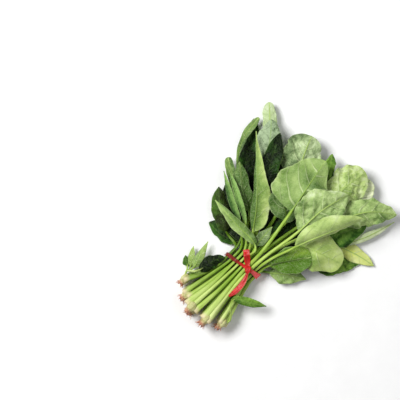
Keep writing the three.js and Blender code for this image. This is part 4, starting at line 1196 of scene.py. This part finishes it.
def leaf_under_material():
    """Pale matt underside with raised veins."""
    nodes = Nodes("leaf_under")
    leaf = leaf_parts(nodes)
    patches = nodes.noise(leaf.place, 0.06, detail=4)
    fine = nodes.noise(leaf.place, 0.9)
    # tone is halved, so that tones up to 2 reach the palest stops: painted light for leaves that lie in shade
    tone = (leaf.tone + (patches - 0.5) * 0.55 + (fine - 0.5) * 0.24) * 0.5
    base = leaf_colour(
        nodes, tone, leaf.warmth,
        green=((0, (66, 100, 34)), (0.25, (126, 158, 80)), (0.5, (184, 210, 130)), (1, (244, 250, 222))),
        yellow=((0, (78, 120, 14)), (0.25, (142, 176, 52)), (0.5, (202, 216, 100)), (1, (246, 250, 190))),
        # grey: partly the leaf's own grey-green, partly painted sheen
        grey_and_sheen=((0, (74, 96, 60)), (0.25, (130, 150, 110)), (0.5, (190, 208, 166)), (1, (248, 252, 240))),
    )
    vein_shade = nodes.cover(base, (0.8, (222, 238, 178)))
    base = nodes.cover(
        base,
        (leaf.net_line * 0.22, vein_shade),
        (leaf.side_vein * (leaf.tone * 0.6 + 0.3), vein_shade),
        (leaf.midrib * 0.7, (180, 208, 118)),
        # painted highlight along the blade's edge
        (leaf.rim, (210, 230, 166)),
    )
    relief = leaf.side_vein + leaf.net_line * 0.30 + leaf.mottle * 3 + fine * 0.35
    roughness = nodes.spread(patches, 0.3, 0.7, 0.46, 0.60)
    return nodes.finish(base, roughness, relief, 0.0005, specular=0.3)


def leaf_upper_material():
    """Dark glossy upper side, blistered between paler veins."""
    nodes = Nodes("leaf_upper")
    leaf = leaf_parts(nodes)
    patches = nodes.noise(leaf.place, 0.05, detail=4)
    fine = nodes.noise(leaf.place, 0.8)
    base = leaf_colour(
        nodes, leaf.tone + (patches - 0.5) * 0.6, leaf.warmth,
        green=((0, (8, 24, 4)), (0.5, (52, 98, 26)), (1, (132, 178, 72))),
        yellow=((0, (48, 56, 14)), (0.5, (84, 112, 30)), (1, (150, 186, 60))),
        # grey: partly the leaf's own grey-green, partly painted sheen
        grey_and_sheen=((0, (40, 60, 34)), (0.5, (112, 134, 98)), (1, (178, 194, 164))),
    )
    vein_shade = nodes.cover(base, (0.3, (140, 174, 90)))
    base = nodes.cover(
        base,
        (leaf.net_line * 0.2, vein_shade),
        (leaf.side_vein * 0.3, vein_shade),
        (leaf.midrib * (leaf.tone * 0.45 + 0.05), (140, 174, 90)),
        # painted highlight along the blade's edge
        (leaf.rim, (150, 184, 96)),
    )
    relief = leaf.net_hollow * 0.9 - leaf.side_vein * 0.5 + leaf.mottle * 2 + fine * 0.35
    roughness = nodes.spread(patches, 0.3, 0.7, 0.38, 0.50)
    return nodes.finish(base, roughness, relief, 0.0007, specular=0.15)


def stalk_material():
    """Pale juicy stalk with fine ribs along it, cream at its foot."""
    nodes = Nodes("stalk")
    x, y, seed = nodes.attribute("flat")
    tone, blade_tone, _ = nodes.attribute("look")
    on_blade = nodes.attribute("vein")[0]
    fibre = nodes.noise(nodes.place(x * 0.03, y, seed), 1.6)
    patches = nodes.noise(nodes.place(x, y, seed), 0.05)
    # tone holds the stalk's painted row shade
    shade = fibre * 0.55 + patches * 0.45 + (tone - 0.5) * 0.6
    green = nodes.ramp(shade, ((0.1, (66, 102, 16)), (0.5, (138, 178, 50)), (0.9, (190, 218, 104))))
    pale = nodes.ramp(shade, ((0.1, (100, 134, 34)), (0.5, (170, 200, 88)), (0.9, (214, 228, 148))))
    rib = nodes.ramp(blade_tone, ((0, (22, 48, 12)), (0.4, (128, 164, 66)), (0.8, (182, 208, 116))))
    base = nodes.cover(
        green,
        (nodes.spread(x, 10, 70, 1, 0), pale),
        (nodes.spread(x, 1, 10, 0.85, 0), (226, 208, 170)),
        (on_blade * 0.85, rib),
    )
    return nodes.finish(base, 0.36, fibre, 0.0005, specular=0.35)


def crown_material():
    """Cut root stub and crown: cream and pink with brown scraps."""
    nodes = Nodes("crown")
    x, y, seed = nodes.attribute("flat")
    place = nodes.place(x, y, seed)
    patches = nodes.noise(place, 0.35, detail=4)
    root = nodes.ramp(patches, ((0.3, (120, 62, 40)), (0.5, (196, 130, 104)), (0.7, (226, 192, 152))))
    upper = nodes.ramp(patches, ((0.3, (182, 178, 104)), (0.7, (218, 220, 160))))
    base = nodes.cover(root, (nodes.spread(patches * 6 + x, 5, 12), upper))
    return nodes.finish(base, 0.55, nodes.noise(place, 1.5, detail=4), 0.0008)


def tie_material():
    """Red plastic, with painted shade where the band goes down on the left and painted light on its right."""
    nodes = Nodes("tie_band")
    x, y, seed = nodes.attribute("flat")
    shade = nodes.attribute("look")[0]
    streaks = nodes.noise(nodes.place(x * 0.08, y, seed), 1.4)
    base = nodes.ramp(streaks, ((0.25, (134, 10, 12)), (0.5, (202, 28, 26)), (0.8, (234, 66, 56))))
    painted_band_shade, painted_band_light = shade.at_least(0) * 0.85, (shade * -1).at_least(0) * 0.95
    base = nodes.cover(base, (painted_band_shade, (98, 26, 6)), (painted_band_light, (255, 84, 84)))
    return nodes.finish(base, 0.34, streaks, 0.0006)


def floor_material():
    nodes = Nodes("floor")
    grain = nodes.noise(nodes.add("ShaderNodeTexCoord", {}, "Object"), 40)
    base = nodes.ramp(grain, ((0.3, (249.1, 249.1, 249.1)), (0.7, (252.7, 252.7, 252.7))))
    return nodes.finish(base, 0.7, grain, 0.00005)


# ---- The bunch ----

def grow_plants():
    """Lays the leaves from the lowest up, and makes one mesh of every plant."""
    plant_of = {name: plant for plant, names in PLANTS.items() for name in names}
    skins = {plant: Skin() for plant in PLANTS}
    for index, row in enumerate(LEAVES):
        plant = plant_of[row[0]]
        fine = FineLeaf(Leaf(row, index, plant))
        fine.shape_blade()
        fine.lay_veins()
        fine.roughen()
        fine.settle()
        fine.add_blade(skins[plant])
        add_stalk(fine, skins[plant])
    materials = [leaf_upper_material(), leaf_under_material(), stalk_material(), crown_material()]
    for plant, skin in skins.items():
        add_crown(plant, skin)
        piece = skin.build(plant + "_grown", materials)
        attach(piece, "root")
        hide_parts(plant)


def wind_tie():
    skin = Skin()
    add_band(skin)
    add_knot(skin)
    for number, end in enumerate(TIE_ENDS):
        add_tail(skin, end, TAIL_SEED + number)
    tie = skin.build("tie_band", [tie_material()])
    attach(tie, "root")
    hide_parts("tie")


# ---- Floor, light and camera ----

FLOOR_SIZE, FLOOR_DROP = 6, 0.0003  # metres
CAMERA_HEIGHT = 2000.0  # mm above the floor
VIEW_LEVEL = 40.0  # height of the plane that the scale holds in
SCALE = 1.3  # mm to a picture element at that height
IMAGE_MIDDLE = (200, 200)
TIE_PIXEL = (243, 266)
IMAGE_WIDTH = 400
SENSOR = 36.0
CLIP_END = 20  # metres
# name, place and size in metres, and power in watts
LAMPS = (("key", (-0.3, 1.1, 1.6), 0.9, 39), ("fill", (0.8, -0.6, 1.8), 1.4, 10))
SKY_STRENGTH = 0.15


def add_floor():
    bpy.ops.mesh.primitive_plane_add(size=FLOOR_SIZE, location=(0, 0, -FLOOR_DROP))
    floor = bpy.context.object
    floor.name = "floor"
    floor.data.materials.append(floor_material())


def add_camera():
    """Looks straight down, with the stalks up and to the right in the picture."""
    right, down = (SCALE * (middle - tie) for middle, tie in zip(IMAGE_MIDDLE, TIE_PIXEL))
    data = bpy.data.cameras.new("camera")
    data.sensor_width = SENSOR
    data.lens = SENSOR * (CAMERA_HEIGHT - VIEW_LEVEL) / (SCALE * IMAGE_WIDTH)
    data.clip_end = CLIP_END
    camera = bpy.data.objects.new("camera", data)
    x, y = np.array([right - down, -right - down]) / math.sqrt(2)
    camera.location = to_frame((x, y, CAMERA_HEIGHT))
    camera.rotation_euler = (0, 0, -math.pi / 4)
    bpy.context.scene.collection.objects.link(camera)
    bpy.context.scene.camera = camera


def add_lamp(name, place, size, power):
    """A round lamp that shines at the origin."""
    data = bpy.data.lights.new(name, "AREA")
    data.shape = "DISK"
    data.size = size
    data.energy = power
    lamp = bpy.data.objects.new(name, data)
    lamp.location = place
    x, y, z = place
    lamp.rotation_euler = (math.atan2(math.hypot(x, y), z), 0, math.atan2(y, x) + math.pi / 2)
    bpy.context.scene.collection.objects.link(lamp)


def add_sky():
    world = bpy.data.worlds.new("studio")
    world.use_nodes = True
    sky = world.node_tree.nodes["Background"]
    sky.inputs["Color"].default_value = (1, 1, 1, 1)
    sky.inputs["Strength"].default_value = SKY_STRENGTH
    bpy.context.scene.world = world
    bpy.context.scene.view_settings.view_transform = "Standard"


grow_plants()
wind_tie()
add_floor()
add_camera()
for lamp in LAMPS:
    add_lamp(*lamp)
add_sky()
